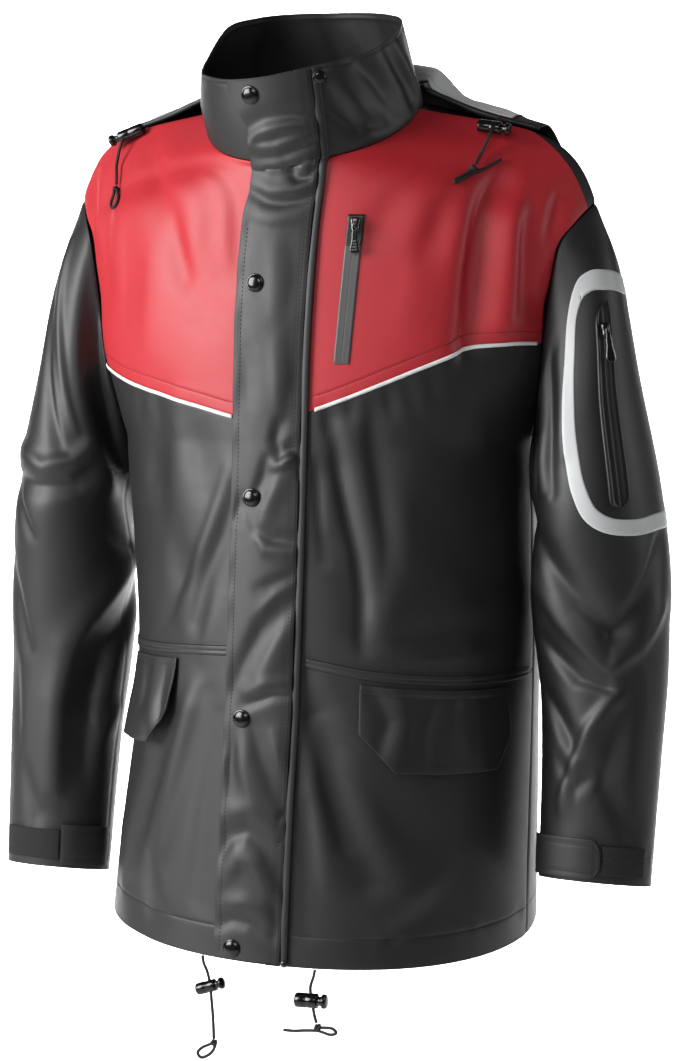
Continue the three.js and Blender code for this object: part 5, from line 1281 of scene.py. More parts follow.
FLAP_CREASES = [
    (-4.4, 6, (-40, -34), (-22, -20), (-1, -9), (22, -5), (48, -6)),
    (3.2, 6, (-30, -38), (-8, -21), (14, -16), (44, -17)),
    (-2.6, 4, (-14, -27), (6, -26), (28, -19), (42, -16)), (2.2, 4, (-12, -33), (8, -33), (30, -27), (42, -24)),
    (-2.6, 4, (-2, -42), (14, -40), (30, -33), (43, -28)), (2.4, 6, (28, -50), (34, -53), (38, -58)),
    (-3, 3.6, (20, -58), (27, -64), (36, -62), (42, -55)), (-2, 3.4, (24, -50), (22, -57)),
    (2, 4.5, (-12, -50), (2, -54), (16, -52)), (-2.8, 5, (-16, -76), (-2, -84), (13, -86), (30, -83), (46, -76)),
    (2.6, 5, (-14, -68), (4, -75), (26, -74), (42, -68)), (1.8, 6, (-16, -95), (4, -100), (24, -98)),
    (-1.8, 9, (22, -120), (28, -150), (24, -186)), (1.4, 9, (8, -130), (10, -180)),
    (-2.4, 8, (26, -206), (30, -240), (24, -280)), (1.8, 8, (12, -214), (16, -262)),
    (-1.6, 7, (-18, -220), (-14, -262)),
    (-3.4, 4.6, (16, -284), (13, -300), (18, -314), (27, -308)), (-3, 4.4, (27, -306), (34, -312), (37, -330)),
    (3.2, 4, (14, -324), (22, -322), (30, -316), (37, -322)), (-2.6, 5, (6, -318), (2, -335), (-4, -348)),
    (2.4, 6, (20, -334), (10, -356), (4, -372)), (-3, 5.5, (-12, -362), (-2, -382), (14, -391), (37, -392)),
    (2.6, 6, (-6, -372), (8, -400), (30, -404)), (-1.8, 4, (-20, -352), (-24, -374)),
    (-2, 6, (36, -420), (20, -428), (4, -436)), (2.4, 6, (37, -430), (22, -440), (8, -456)),
    (-4.2, 9, (34, -438), (22, -450), (6, -474), (-10, -506), (-18, -530)),
    (2.8, 8, (36, -462), (22, -486), (8, -516)),
    (-3, 5, (-9, -546), (4, -540), (20, -533), (36, -532)), (2.8, 5, (-4, -534), (14, -526), (34, -524)),
    (-3, 7, (2, -566), (10, -592), (22, -618), (34, -640)), (2.4, 7, (-12, -574), (-6, -604), (4, -632)),
    (-2.2, 5, (-16, -572), (-20, -600), (-18, -630)), (1.8, 5, (22, -570), (30, -600)),
    (-4.2, 8, (-26, -684), (-16, -668), (0, -660), (14, -672), (26, -692), (34, -706)),
    (3.2, 8, (-20, -704), (-6, -686), (8, -690), (22, -714)), (2, 7, (-22, -650), (0, -642), (20, -652)),
    (-3.4, 6.5, (-26, -752), (-12, -744), (6, -746), (20, -756)), (2.6, 6, (-20, -734), (0, -728), (18, -736)),
    (-2, 5, (26, -722), (30, -742), (28, -762)), (-1.6, 3, (34, -640), (30, -646)), (-1.6, 3, (35, -662), (31, -668)),
]


def flap_puff(share, z):
    """The flap bows outward between its two edges, less where a snap holds it down."""
    held = sum(np.exp(-((z - s) / 26.0) ** 2) for s in (14, -157, -353, -557, -770))
    bow = 4 * share * (1 - share)
    return bow * (2.4 - 1.1 * clamp(held)) + 0.9 * np.exp(-(share / 0.09) ** 2) * (1 - clamp(held))


print("the flap is", round(float(flap_edge("sewn", -400) - flap_edge("free", -400))), "mm wide")

# %% Storm flap, binding and zip
zs = places(-780, 27, 2.7)[None]
share = np.unique(np.concatenate([np.linspace(0, 1, 27), [0.012, 0.025, 0.05, 0.95, 0.975, 0.988]]))[:, None]
x = mix(flap_edge("free", zs), flap_edge("sewn", zs), share)
z = to_rim(x, zs)
flap_base = front(x, z)
out = flap_puff(share, zs) + 0.9 * creases(FLAP_CREASES, x, z, 1.3)
free_mm = share * FLAP_WIDE
edge_wave = 0.5 * np.sin(zs / 8.3 + np.sin(zs / 23.0)) * np.exp(-(free_mm / 6) ** 2) * (zs < -60)
sewn_mm = (1 - share) * FLAP_WIDE
dip = (seam_dip(free_mm - 6.5, 0.4, 1.2) * (zs < -100) + seam_dip(sewn_mm, 0.8, 2.2)
       + seam_dip(sewn_mm - 5, 0.35, 1.2))
lift = LAID + 2.7 + 0.9 + np.maximum(out, -3.4) + edge_wave + dip
flap_points = flap_base + normals(flap_base) * lift[..., None]
flap = cloth("storm_flap", flap_points, thick=1.8, rounded=0.6)
cut_from(flap, flap_points)


def flap_stitches(name, at_mm, low, high):
    k = np.arange(zs.size)[(zs[0] >= low) & (zs[0] <= high)]
    s = at_mm / FLAP_WIDE
    i = np.interp(s, share[:, 0], np.arange(share.size))
    a, f = int(i), i - int(i)
    line = flap_points[a, k] * (1 - f) + flap_points[min(a + 1, share.size - 1), k] * f
    outward = normals(flap_points)[a, k]
    stitches(name, line, outward, 3.8, 2.7, 0.32, 1.15)


flap_stitches("flap_edge_stitches", 6.5, -776, -104)
flap_stitches("flap_sewn_stitches", 61, -776, 20)

across = np.linspace(0, 1, 9)[:, None]
bind_z = places(-780, 27, 3.2)[None]
x = flap_edge("sewn", bind_z) + 0.3 + across * 6.5
base = front(x, to_rim(x, bind_z))
roll = (1.3 * np.sin(np.pi * clamp(across, 0.02, 0.98)) ** 0.6
        + 0.25 * np.sin(bind_z / 17.0 + 2 * np.sin(bind_z / 61.0)))
points = base + normals(base) * (LAID + 1.2 + roll)[..., None]
cloth("flap_binding", points, thick=1.2)

across = np.linspace(0, 1, 11)[:, None]
zip_z = places(-783, 22, 4)[None]
x = flap_edge("sewn", zip_z) - 14 + across * 13.2
base = front(x, zip_z)
points = base + normals(base) * (LAID + 0.5 + 0.35 * np.abs(across - 0.5))[..., None]
cloth("front_zip", points, "black_zip_tape", [zip_tape], thick=0.7)


def zip_teeth(name, spots, u, w, n, aside, half, tall, taper, footed):
    """Small blocks in two rows, wider at the foot, on spots with directions across, along and out."""
    points, faces = [], []
    spots = spots + u * np.where(np.arange(len(spots)) % 2, aside, -aside)[:, None]
    for c, across, along, out in zip(spots, u, w, n):
        first = len(points)
        for h, size in ((0, 1.0), (tall, taper)):
            for a, b in ((-1, -1), (1, -1), (1, 1), (-1, 1)):
                points.append(c + across * a * half[0] * size + along * b * half[1] * size + out * h)
        if footed:
            faces.append([first + 3 - a for a in range(4)])
        faces.append([first + 4 + a for a in range(4)])
        faces += [[first + a, first + (a + 1) % 4, first + 4 + (a + 1) % 4, first + 4 + a] for a in range(4)]
    settle(write_mesh(name, points, faces, [gloss_plastic]), "black_zip_tape")


teeth_z = np.arange(-780, 18, 2.6)
tx = flap_edge("sewn", teeth_z) - 7.4
spots, n = front(tx, teeth_z), front_normal(tx, teeth_z)
u = unit(np.cross((0, 0, 1), n))
zip_teeth("front_zip_teeth", spots + n * (LAID + 1.0), u, np.cross(n, u), n, 0.8, (1.5, 0.8), 1.1, 0.78, True)
turned("front_zip_stop", [(0, -1), (2.6, -1), (3.4, -0.4), (3.5, 0.6), (2.9, 1.5), (1.6, 1.9), (0, 2)],
              frame_of(on_front(39.5, -780, 3.6), front_normal(39.5, -780)), lacquer, "black_lacquered_metal", 20)
print("zip teeth:", len(teeth_z))

# %% [markdown]
# ## Snaps
#
# Each snap cap is a glossy dome with a rolled rim. It presses the flap down round itself. A smaller
# one sits on the rim of the collar.

# %% Snap caps
CAP = [(0, -0.6), (7.2, -0.6), (8.0, -0.3), (8.5, 0.3), (8.5, 0.8), (8.2, 1.2), (7.7, 1.4), (7.3, 1.35),
       (7.0, 1.5), (6.4, 1.95), (5.4, 2.4), (3.9, 2.75), (2.1, 2.95), (0, 3.0)]
SNAPS = {"snap_collar": (-11, 14), "snap_chest": (-10, -157), "snap_belly": (-8, -353), "snap_waist": (-10, -557),
         "snap_hem": (-11, -770)}
for name, (sx, sz) in SNAPS.items():
    seat = frame_of(on_front(sx, sz, 7.6), front_normal(sx, sz))
    turned(name, CAP, seat, gloss_plastic, "black_gloss_plastic", 40, stands_for=(name,))
seat = frame_of(on_front(48, 29, 4.9), front_normal(48, 29))
turned("snap_rim", [(r * 0.72, h * 0.8) for r, h in CAP], seat, gloss_plastic, "black_gloss_plastic", 32,
       stands_for=("snap_rim",))
print(len(SNAPS) + 1, "snap caps")

# %% [markdown]
# ## Piping, waist bands and stitch lines
#
# White piping runs along the lower edge of each yoke: a cord in a folded strip, so its section is
# half round. The waist seam is raised, with a row of stitches just above it. The yokes and the
# hem have one row of stitches each.

# %% Piping and seams
for side in (1, -1):
    word = WORD[side]
    outs = np.linspace(0.045 if side > 0 else 0.172, 0.955, 130)[:, None]
    arc = np.linspace(-1, 1, 9)[None]
    points = torso("front", side, outs, pipe_at(side, outs) + arc * 1.75)
    points = points + normals(points, flip=side < 0) * (0.7 + 1.5 * np.sqrt(1 - 0.9 * arc**2))[..., None]
    cloth("piping_" + word, points, "white_piping", [piping_white], thick=0.5, flip=side < 0)

    arc = np.linspace(-1, 1, 15)[None]
    points = torso("front", side, outs, waist_at(side, outs) + arc * 4.6)
    raised = 0.7 + 0.9 * (1 - arc**8) - 0.7 * np.exp(-((arc + 0.1) / 0.16) ** 2)
    points = points + normals(points, flip=side < 0) * raised[..., None]
    cloth("waist_band_" + word, points, "black_coated_cloth", [black_cloth], thick=0.6, flip=side < 0)

    outs = np.linspace(0.05 if side > 0 else 0.18, 0.985, 200)
    line, outward = seam_line(side, outs, pipe_at(side, outs) + 12.5, 0.0)
    # Dark red dashes on the yoke: they are thread, plus painted seam shade that draws the groove's dark line.
    stitches(f"yoke_stitches_{word}", line, outward, 3.4, 2.7, 0.34, 0.55,
             yoke_thread_and_seam_shade, "red_coated_cloth")
    line, outward = seam_line(side, outs, np.full(outs.shape, HEM) / WAIST * waist_at(side, outs), 0.0)
    stitches(f"hem_stitches_{word}", line, outward, 4.2, 3.1, 0.36, 0.5)
    line, outward = seam_line(side, outs, waist_at(side, outs) + 7.4, 0.0)
    stitches(f"waist_stitches_{word}", line, outward, 3.8, 2.8, 0.32, 0.6)
outs = np.linspace(0.003, 0.99, 200)
for side in (1, -1):
    at = np.full(outs.shape, float(HEM))
    p = torso("back", side, outs, at)
    n = unit(np.cross(torso("back", side, outs, at + 0.5) - p, torso("back", side, outs + 0.002, at) - p)) * side
    stitches(f"hem_stitches_back_{WORD[side]}", p, n, 4.2, 3.1, 0.36, 0.5)
    turns = np.linspace(0, 1, 150)
    p = sleeve(side, turns, np.full(turns.shape, 1 - CUFF_HEM / SLEEVE_LONG))
    ang = turns * 2 * np.pi
    n = point(side * np.cos(ang), -np.sin(ang), 0)
    stitches(f"cuff_stitches_{WORD[side]}", p, n, 4.0, 3.0, 0.34, 0.45)

# %% [markdown]
# ## Zips of the chest and the sleeve
#
# Both pockets close with a zip under welded tape. The chest's tape is grey and plain. The sleeve's is
# black, with a raised border and a slit that shows the teeth. The slider is a small shell with an arch
# on its back, and a pull tab with a window hangs from the arch. The tab turns, so it is a piece of
# its own that rides on its own body.

# %% Welded tapes
def zip_tape_strip(name, surface, half, long, under, border, slot="black_zip_tape", rounded_ends=0.0, slit=0.8,
                   finishes=(zip_tape,)):
    """A tape along a surface given by (across in mm, share along). Its section has two borders and a slit."""
    arc = np.unique(np.concatenate([np.linspace(-1, 1, 17), [-0.06, -0.03, 0.03, 0.06]]))[:, None]
    along = np.linspace(0, 1, round(long / 2.6) + 1)[None]
    size = np.ones(along.shape)
    if rounded_ends:
        from_end = np.minimum(along, 1 - along) * long
        size = np.sqrt(clamp(1 - clamp(1 - from_end / rounded_ends) ** 2, 0.02, 1))
    base = surface(arc * half * size, along)
    section = (0.5 + border * np.exp(-((np.abs(arc) - 0.82) / 0.1) ** 2) - slit * np.exp(-(arc / 0.055) ** 2)
               - 0.5 * np.abs(arc) ** 12)
    points = base + normals(base) * (under + section)[..., None]
    return cloth(name, points, slot, finishes, thick=0.7)


def on_chest(across, t):
    return front(mix(71.5, 80.5, t) + across, mix(-229.0, -94.0, t), True)


def on_sleeve(across, t):
    return sleeve(1, mix(0.115, 0.14, t) + across / SLEEVE_ROUND, mix(0.125, 0.39, t))


chest_tape = zip_tape_strip("chest_zip", on_chest, 7.2, 135, LAID - 0.6, 0.3, slit=0.15,
                            finishes=(welded_tape, zip_tape, zip_tape))
steps = round(135 / 2.6)
# The top fifth of the chest tape, round the parked slider, takes the black tape: painted shade inside the zip garage.
along_of = np.tile(np.arange(steps), len(chest_tape.data.polygons) // steps)
chest_tape.data.polygons.foreach_set("material_index", (along_of > 0.79 * along_of.max()).astype(np.int32))
zip_tape_strip("sleeve_zip", on_sleeve, 12, 170, LAID - 0.5, 1.5, rounded_ends=10)


t = np.linspace(0.16, 0.95, 116)
spots = on_sleeve(np.zeros(t.size), t)
u = unit(on_sleeve(np.full(t.size, 0.6), t) - spots)
w = unit(on_sleeve(np.zeros(t.size), t + 0.004) - spots)
n = unit(np.cross(u, w))
zip_teeth("sleeve_zip_teeth", spots + n * (LAID - 0.4), u, w, n, 0.55, (0.7, 0.42), 0.7, 0.7, False)

# %% Sliders and pull tabs
PIVOT, TAB = 4.6, 1.9


def loft(sections):
    """Faces between rings of points with equal counts, closed at both ends."""
    points, faces, n = [], [], len(sections[0])
    for ring in sections:
        points += list(ring)
    for k in range(len(sections) - 1):
        for m in range(n):
            a, b = k * n + m, k * n + (m + 1) % n
            faces.append([a, b, b + n, a + n])
    faces.append(list(range(n))[::-1])
    faces.append([(len(sections) - 1) * n + m for m in range(n)])
    return points, faces


def zip_slider(name, seat):
    """A slider: a waisted shell, rounded on top, with an arch along its back."""
    o, x, y, z = seat

    def ring(scale_w, scale_l, h):
        spots = []
        for k in range(32):
            a = k / 32 * 2 * math.pi
            c, s = math.cos(a), math.sin(a)
            py = math.copysign(abs(s) ** 0.55, s) * 7.0 * scale_l
            waist = 1 - 0.16 * math.exp(-((py + 1.5) / 3.0) ** 2) + 0.06 * math.exp(-((py - 5) / 2.0) ** 2)
            spots.append(o + x * math.copysign(abs(c) ** 0.6, c) * 4.5 * scale_w * waist + y * py + z * h)
        return spots

    points, faces = loft([ring(*form) for form in (
        (0.9, 0.95, -0.3), (1, 1, 0.2), (1, 1, 1.1), (0.94, 0.96, 1.9), (0.8, 0.88, 2.7), (0.62, 0.76, 3.1))])
    body_points = len(points)
    t = np.linspace(0, 1, 17)
    ys = 3.0 * np.cos(np.pi * t)
    hs = 2.4 + 4.3 * np.sin(np.pi * t) ** 0.45
    rings = []
    for k in range(len(t)):
        c = o + y * ys[k] + z * hs[k]
        j, i = min(k + 1, len(t) - 1), max(k - 1, 0)
        lead = unit(y * (ys[j] - ys[i]) + z * (hs[j] - hs[i]))
        up = np.cross(x, lead)
        rings.append([c + x * 0.85 * math.cos(a) + up * 0.5 * math.sin(a)
                      for a in np.linspace(0, 2 * math.pi, 12, endpoint=False)])
    more, arch_faces = loft(rings)
    faces += [[v + body_points for v in f] for f in arch_faces]
    made = write_mesh(name, points + more, faces, [lacquer])
    return settle(made, "black_lacquered_metal", stands_for=(name,))


def pull_tab(name, seat, long, wide, body):
    """A flat tab with a window for the slider's arch, a narrow neck and a wide ribbed grip."""
    o, x, y, z = seat
    w, o = wide / 2 * 1.25, o + z * PIVOT
    side_line = [(0.8, 2.3), (-1.5, 2.5), (-4.4, 2.5), (-6.4, 2.5), (-9, 0.50 * w + 0.6), (-0.5 * long, 0.64 * w),
                 (-0.66 * long, 0.8 * w), (-0.8 * long, 0.95 * w), (-0.88 * long, w), (-0.94 * long, 0.9 * w),
                 (-long, 0.55 * w)]
    spots = smooth_line([(s, h, 0) for s, h in side_line], 46)
    points, faces = [], []
    for k, (s, h, _) in enumerate(spots):
        window = 1.35 * math.sqrt(max(0.0, 1 - ((s + 2.8) / 2.1) ** 2)) if abs(s + 2.8) < 2.1 else 0.0
        window = window if window > 0.25 else 0.0
        grip = 0.24 * math.cos((s + 0.7 * long) * 2.4) if -0.92 * long < s < -0.52 * long else 0.0
        for sign in (1, -1):
            for frac, hgt in ((0.0, 1.0), (0.35, 1.0), (0.85, 0.96), (1.0, 0.4)):
                across = window + (h - window) * frac
                thick = (TAB / 2 + (grip if frac < 0.6 else 0)) * hgt
                points.append(o + y * s + x * sign * across + z * thick)
                points.append(o + y * s + x * sign * across - z * thick)
    per = 16
    for k in range(len(spots) - 1):
        for g, sign in ((0, 1), (8, -1)):
            for c in range(3):
                a, b = k * per + g + 2 * c, k * per + g + 2 * c + 2
                top, low = [a, b, b + per, a + per], [a + 1, a + per + 1, b + per + 1, b + 1]
                faces += [top[::-1] if sign > 0 else top, low[::-1] if sign > 0 else low]
            a = k * per + g + 6
            rim = [a, a + 1, a + 1 + per, a + per]
            faces.append(rim[::-1] if sign > 0 else rim)
            a = k * per + g
            if abs(spots[k][0] + 2.8) < 2.3:
                faces.append([a, a + 1, a + 1 + per, a + per] if sign > 0 else [a, a + per, a + 1 + per, a + 1])
    for k in (0, len(spots) - 1):
        for g, sign in ((0, 1), (8, -1)):
            for c in range(3):
                a, b = k * per + g + 2 * c, k * per + g + 2 * c + 2
                quad = [a, a + 1, b + 1, b]
                faces.append(quad if (sign > 0) == (k == 0) else quad[::-1])
    made = write_mesh(name, points, faces, [lacquer])
    work = bmesh.new()
    work.from_mesh(made.data)
    bmesh.ops.remove_doubles(work, verts=work.verts, dist=1e-6)
    bmesh.ops.recalc_face_normals(work, faces=work.faces)
    work.to_mesh(made.data)
    work.free()
    made.data.shade_smooth()
    return settle(made, "black_lacquered_metal", body, stands_for=(name,))


cx, cz = mix(71.5, 80.5, 0.93), mix(-229, -94, 0.93)
chest_seat = frame_of(on_front(cx, cz, LAID + 1.8), front_normal(cx, cz))
t = 0.12
turn, down = mix(0.115, 0.14, t), mix(0.125, 0.39, t)
p = sleeve(1, turn, down, False)
n = unit(np.cross(sleeve(1, turn + 0.004, down, False) - p, sleeve(1, turn, down + 0.004, False) - p))
upward = unit(sleeve(1, turn, down - 0.02, False) - p)
sleeve_seat = frame_of(p + n * (LAID + 2.2), n, upward)
zip_slider("chest_zip_slider", chest_seat)
pull_tab("chest_zip_pull", chest_seat, 26, 7, "chest_pull")
zip_slider("sleeve_zip_slider", sleeve_seat)
pull_tab("sleeve_zip_pull", sleeve_seat, 30, 8, "sleeve_pull")
print("chest slider at", chest_seat[0].round(1), "sleeve slider at", sleeve_seat[0].round(1))

# %% [markdown]
# ## Pocket flaps
#
# Each flap hangs from just under the waist seam and hides the pocket's opening. Its front edge stands
# off a little, because the cloth is stiff, so light catches it. Two corners are cut at a slant.

# %% Pocket flaps
POCKETS = {1: {"from": 0.22, "to": 0.8, "drop": 76, "corner": 31, "kick": 8},
           -1: {"from": 0.375, "to": 0.68, "drop": 80, "corner": 32, "kick": 15}}
POCKET_CREASES = {
    1: [(-1.8, 9, (12, 4), (30, 30), (26, 62)), (1.8, 9, (34, 0), (48, 34), (44, 70)),
        (-1.6, 9, (70, 10), (64, 40), (72, 72)),
        (1.4, 9, (92, 4), (88, 44)), (-1.8, 8, (108, 22), (112, 52)), (-1.2, 5, (8, 9), (60, 8), (124, 9))],
    -1: [(-1.6, 8, (14, 10), (20, 44), (12, 70)), (1.8, 9, (34, 0), (38, 36), (30, 72)), (-1.4, 8, (56, 8), (52, 44)),
         (1.2, 7, (68, 20), (66, 60))],
}
for side in (1, -1):
    form, word, flip = POCKETS[side], WORD[side], side > 0
    i = np.linspace(0, 10, 61)[:, None]
    j = np.linspace(0, 1, 46)[None]
    outs = mix(form["from"], form["to"], i / 10)
    cut_corner = form["corner"] * np.maximum(clamp(1 - i / 2), clamp((i - 8.6) / 1.4))
    down = (form["drop"] - cut_corner) * j
    at = waist_at(side, outs) - 9 - down
    points = torso("front", side, outs, at)
    far = lengths(points, 0)
    lift = LAID + 1.4 + 1.0 * j + creases(POCKET_CREASES[side], far, down)
    lift = lift + seam_dip(down - 1, 0.6, 2.4) + seam_dip(down - 8, 0.4, 1.2)
    kick = form["kick"] * (down / form["drop"]) ** 1.6 * (1 if side > 0 else 1 - 0.35 * (i / 10))
    x, y = points[..., 0], points[..., 1] - AXIS_Y
    r = np.hypot(x, y)
    points = points + point(x / r * kick, y / r * kick, 0) + normals(points, flip=flip) * lift[..., None]
    pocket = cloth("pocket_flap_" + word, points, thick=2.0, rounded=0.6, flip=flip)
    cut_from(pocket, points)
    n = normals(points, flip=flip)
    inset = 6.0
    ring = []
    for a, b, count in (((0.0, 0.0), (0.0, 1.0), 24), ((0.0, 1.0), (1.0, 1.0), 60), ((1.0, 1.0), (1.0, 0.0), 24)):
        for s in np.linspace(0, 1, count, endpoint=False):
            ring.append((mix(a[0], b[0], s), mix(a[1], b[1], s)))
    long = far[-1].mean()
    inner = [(inset / long + u * (1 - 2 * inset / long), v * (1 - inset / 70)) for u, v in ring]
    ui, vi = np.array([u * 60 for u, v in inner]), np.array([v * 45 for u, v in inner])
    a, b = np.minimum(ui.astype(int), 59), np.minimum(vi.astype(int), 44)
    fu, fv = (ui - a)[:, None], (vi - b)[:, None]

    def at_grid(grid):
        return mix(mix(grid[a, b], grid[a + 1, b], fu), mix(grid[a, b + 1], grid[a + 1, b + 1], fu), fv)

    stitches("pocket_stitches_" + word, at_grid(points), at_grid(n), 3.8, 2.7, 0.3, 1.25)
    print(word, "pocket flap:", round(float(long)), "mm long,", form["drop"], "mm deep")

# %% [markdown]
# ## Cuffs
#
# A cuff is closed by a tab with hooks. The tab is doubled cloth, sewn at its root and rounded at its
# free end. The patch of hooks that it presses on is sewn flat beside it.

# %% Cuff tabs and hook patches
TABS = {1: {"tab": (0.2, 0.45), "hooks": (0.06, 0.195)}, -1: {"tab": (0.325, 0.5), "hooks": (0.12, 0.32)}}
for side in (1, -1):
    word, flip = WORD[side], side < 0
    low, high = TABS[side]["tab"]
    s, t = np.linspace(0, 1, 54)[:, None], np.linspace(-1, 1, 20)[None]
    long = (high - low) * 340
    free_start = side > 0
    from_end = (s if free_start else 1 - s) * long
    half = 16.0 * np.sqrt(clamp(1 - clamp(1 - from_end / 9.0) ** 2, 0.12, 1))
    down = 0.9695 + t * half / SLEEVE_LONG
    points = sleeve(side, mix(low, high, s), down, False)
    bow = 1.2 * np.sin(np.pi * s) + 0.5 * np.sin(s * 9 + 1)
    lift = LAID + 1.6 + bow + seam_dip((1 - np.abs(t)) * 16 - 4.5, 0.35, 1.1) + seam_dip(from_end - 4.5, 0.3, 1.1)
    points = points + normals(points, flip=flip) * lift[..., None]
    cloth("cuff_tab_" + word, points, thick=1.9, rounded=0.6, flip=flip)
    n = normals(points, flip=flip)
    rows = [points[2:-2, 3], points[2:-2, -4]]
    outward = [n[2:-2, 3], n[2:-2, -4]]
    for k in range(2):
        stitches(f"cuff_tab_stitches_{word}_{k + 1}", rows[k], outward[k], 3.6, 2.6, 0.3, 1.2)

    low, high = TABS[side]["hooks"]
    s, t = np.linspace(0, 1, 40)[:, None], np.linspace(0, 1, 18)[None]
    points = sleeve(side, mix(low, high, s), mix(0.952, 0.989, t), False)
    edge_down = 0.5 * (np.abs(2 * s - 1) ** 16 + np.abs(2 * t - 1) ** 12)
    points = points + normals(points, flip=flip) * (LAID + 0.9 + 0.25 * np.sin(s * 8) - edge_down)[..., None]
    cloth("cuff_hook_" + word, points, "black_hook_fabric", [hook_fabric], thick=0.9, flip=flip)
    print(word, "cuff tab:", round(long), "mm long")

# %% [markdown]
# ## Band on the sleeve
#
# A soft light grey band makes a ring on the left sleeve round its zipped pocket. It is bonded, so it
# has no stitches, only a thin edge, and it follows every crease under it.

# %% Band on the sleeve
BAND = [(0.165, 0.075), (0.205, 0.088), (0.23, 0.14), (0.236, 0.21), (0.238, 0.28), (0.235, 0.335), (0.215, 0.385),
        (0.175, 0.413), (0.11, 0.428), (0.04, 0.43), (-0.03, 0.43), (-0.1, 0.42), (-0.14, 0.385), (-0.155, 0.33),
        (-0.155, 0.24), (-0.14, 0.18), (-0.105, 0.145), (-0.05, 0.13), (0.02, 0.125), (0.08, 0.107), (0.125, 0.085)]
ring = smooth_line([(t * SLEEVE_ROUND, d * SLEEVE_LONG, 0) for t, d in BAND], 260, closed=True)[:, :2]
lead = unit(np.roll(ring, -1, 0) - np.roll(ring, 1, 0))
aside = np.stack([-lead[:, 1], lead[:, 0]], axis=-1)
across = np.linspace(-1, 1, 11)[None, :, None]
spread = ring[:, None] + aside[:, None] * across * 8.0
points = sleeve(1, spread[..., 0] / SLEEVE_ROUND, spread[..., 1] / SLEEVE_LONG)
n = unit(np.cross(sleeve(1, spread[..., 0] / SLEEVE_ROUND + 0.004, spread[..., 1] / SLEEVE_LONG)
                  - sleeve(1, spread[..., 0] / SLEEVE_ROUND - 0.004, spread[..., 1] / SLEEVE_LONG),
                  sleeve(1, spread[..., 0] / SLEEVE_ROUND, spread[..., 1] / SLEEVE_LONG + 0.004)
                  - sleeve(1, spread[..., 0] / SLEEVE_ROUND, spread[..., 1] / SLEEVE_LONG - 0.004)))
edge_down = 0.35 * np.abs(across[..., 0]) ** 8
points = points + n * (LAID - 0.55 - edge_down)[..., None]
flip = float((normals(points, True) * n).sum(-1).mean()) < 0
cloth("sleeve_band", points, "light_grey_band", [bead_band], thick=0.5, loop=True, flip=flip)
print("the band is", round(float(lengths(points, 0)[-1].mean())), "mm long")

# %% [markdown]
# ## Hood
#
# The hood lies on the shoulders behind the collar. Its inner face shows, so it has a light grey panel
# there, with a seam and stitches round it. A black binding runs along the face edge, and the black
# outer cloth falls down the back.

# %% Hood
a = np.linspace(-1, 1, 196)[:, None]
b = np.unique(np.concatenate([np.linspace(0, 1, 78), [0.01, 0.02, 0.03, 0.05]]))[None]
points = hood(a, b)
shell = cloth("hood", points, "black_coated_cloth", [black_cloth, backing], thick=1.6, rounded=0.4,
              flip=float(normals(points)[98, 60, 1]) < 0)
cut_from(shell, points)

a = np.linspace(-0.9, 0.9, 180)[:, None]
b = np.linspace(0.02, 0.6, 54)[None]
points = hood(a, b)
n = normals(points)
flip = float(n[90, 40, 1]) < 0
n = -n if flip else n
from_side = np.minimum(b - 0.02, 0.6 - b) * 250
lift = 1.9 - 0.5 * np.exp(-(from_side / 2.2) ** 2) - 0.4 * np.exp(-((from_side - 8) / 1.3) ** 2)
lining = points + n * lift[..., None]
panel = cloth("hood_panel", lining, "light_grey_cloth", [grey_cloth], thick=0.7, flip=flip)
cut_from(panel, lining)
for k, row in enumerate((4, -5)):
    stitches(f"hood_panel_stitches_{k + 1}", lining[2:-2, row], n[2:-2, row], 3.8, 2.8, 0.32, 0.55,
             grey_thread, "light_grey_cloth")

a = np.linspace(-1, 1, 240)
line = hood(a, np.zeros_like(a))
away = unit(line - hood(a, np.full_like(a, 0.05)))
tube("hood_edge", line + away * 3.4, 2.7, black_cloth, "black_coated_cloth", 14, stands_for=("hood_edge",),
           swell=1 + 0.08 * np.sin(a * 47 + 2 * np.sin(a * 19)))
print("hood cut", [round(v, 3) for v in flat_size(points)])

# %% [markdown]
# ## Where it stands, and the light
#
# The coat is shown alone on white, lit from the wearer's right front by one large soft lamp. The other
# side falls into shade, with a rim of light from the white surround. A pale floor lies well below the
# hem, since nothing holds the coat in the picture.

# %% Stage
def stage_finish():
    f = Finish("pale_paper")
    cloud = f.noise(180, 2)
    return f.shade(Base_Color=f.blend(cloud, (0.80, 0.80, 0.80), (0.83, 0.83, 0.83)), Roughness=0.9 + 0.05 * cloud)


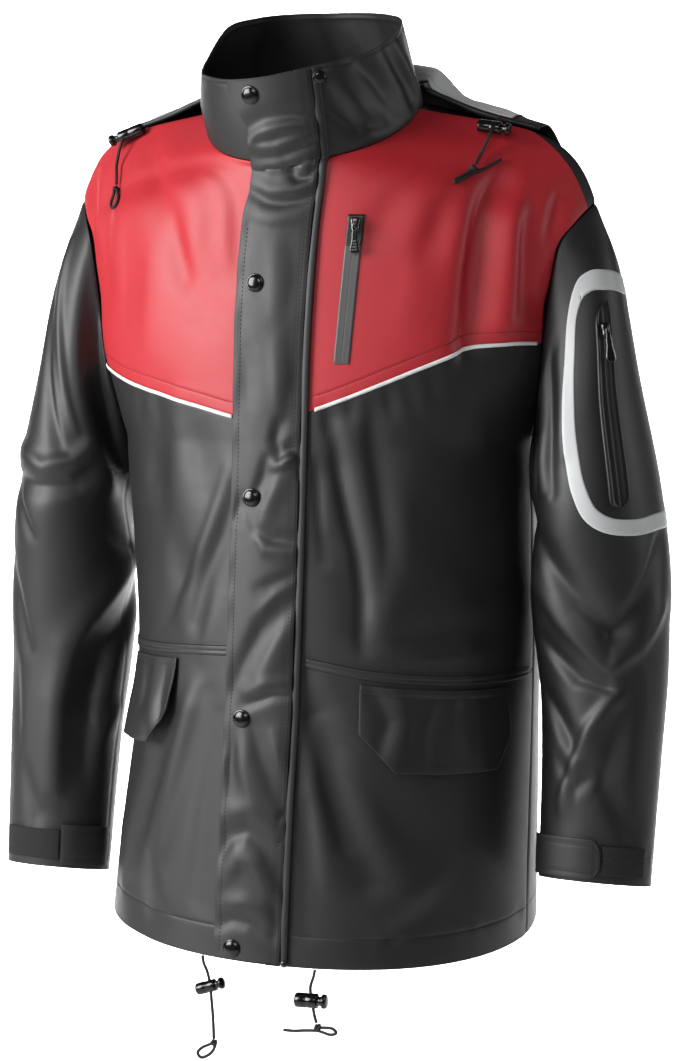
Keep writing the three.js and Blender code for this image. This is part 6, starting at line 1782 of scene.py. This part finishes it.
paper = stage_finish()
sweep = [(-3.5, -1.45), (3.4, -1.45), (4.1, -1.38), (4.5, -1.1), (4.65, -0.6), (4.7, 0.8)]
curve = smooth_line([(y, z, 0) for y, z in sweep], 60)[:, :2] * 1000
turn = math.radians(22)
back_of = np.array([-math.sin(turn), math.cos(turn)])
right_of = np.array([math.cos(turn), math.sin(turn)])
widths = np.linspace(-4.2, 4.2, 13) * 1000
grid = np.array([[(*(back_of * y + right_of * w), z) for y, z in curve] for w in widths])
floor = write_mesh("studio_sweep", grid.reshape(-1, 3), grid_faces(len(widths), len(curve)), [paper])


def lamp(name, at, toward, size, power, spread=180):
    light = bpy.data.lights.new(name, "AREA")
    light.shape, light.size, light.size_y = "RECTANGLE", size[0], size[1]
    light.energy, light.spread = power, math.radians(spread)
    made = bpy.data.objects.new(name, light)
    bpy.context.scene.collection.objects.link(made)
    made.location = at
    made.rotation_euler = (Vector(toward) - Vector(at)).to_track_quat("-Z", "Y").to_euler()
    return made


lamp("key_softbox", (-1.9, -1.9, 0.45), (0.0, -0.05, -0.2), (1.6, 1.7), 118)
lamp("front_fill", (0.5, -2.6, 0.9), (0.05, -0.05, -0.1), (1.2, 0.8), 16)
lamp("side_strip", (2.5, 0.8, 0.3), (0.3, 0.0, -0.3), (0.5, 1.4), 12)
for share in (-1, 1):
    high = back_of * 2.9 + right_of * 1.2 * share
    wall = back_of * 4.5 + right_of * 1.1 * share
    lamp(f"backdrop_wash_{share + 2}", (*high.tolist(), 2.2), (*wall.tolist(), -0.7), (2.4, 0.7), 190, 110)
lamp("floor_wash", (*(back_of * 3.2).tolist(), 1.5), (*(back_of * 3.0).tolist(), -1.45), (4.0, 1.4), 190, 120)
world = bpy.data.worlds.new("white_surround")
bpy.context.scene.world = world
world.use_nodes = True
world.node_tree.nodes["Background"].inputs["Color"].default_value = (1, 1, 1, 1)
world.node_tree.nodes["Background"].inputs["Strength"].default_value = 0.05
scene = bpy.context.scene
scene.view_settings.view_transform = "Standard"
scene.view_settings.look = "None"
scene.view_settings.exposure = 0.0
scene.view_settings.gamma = 1.0
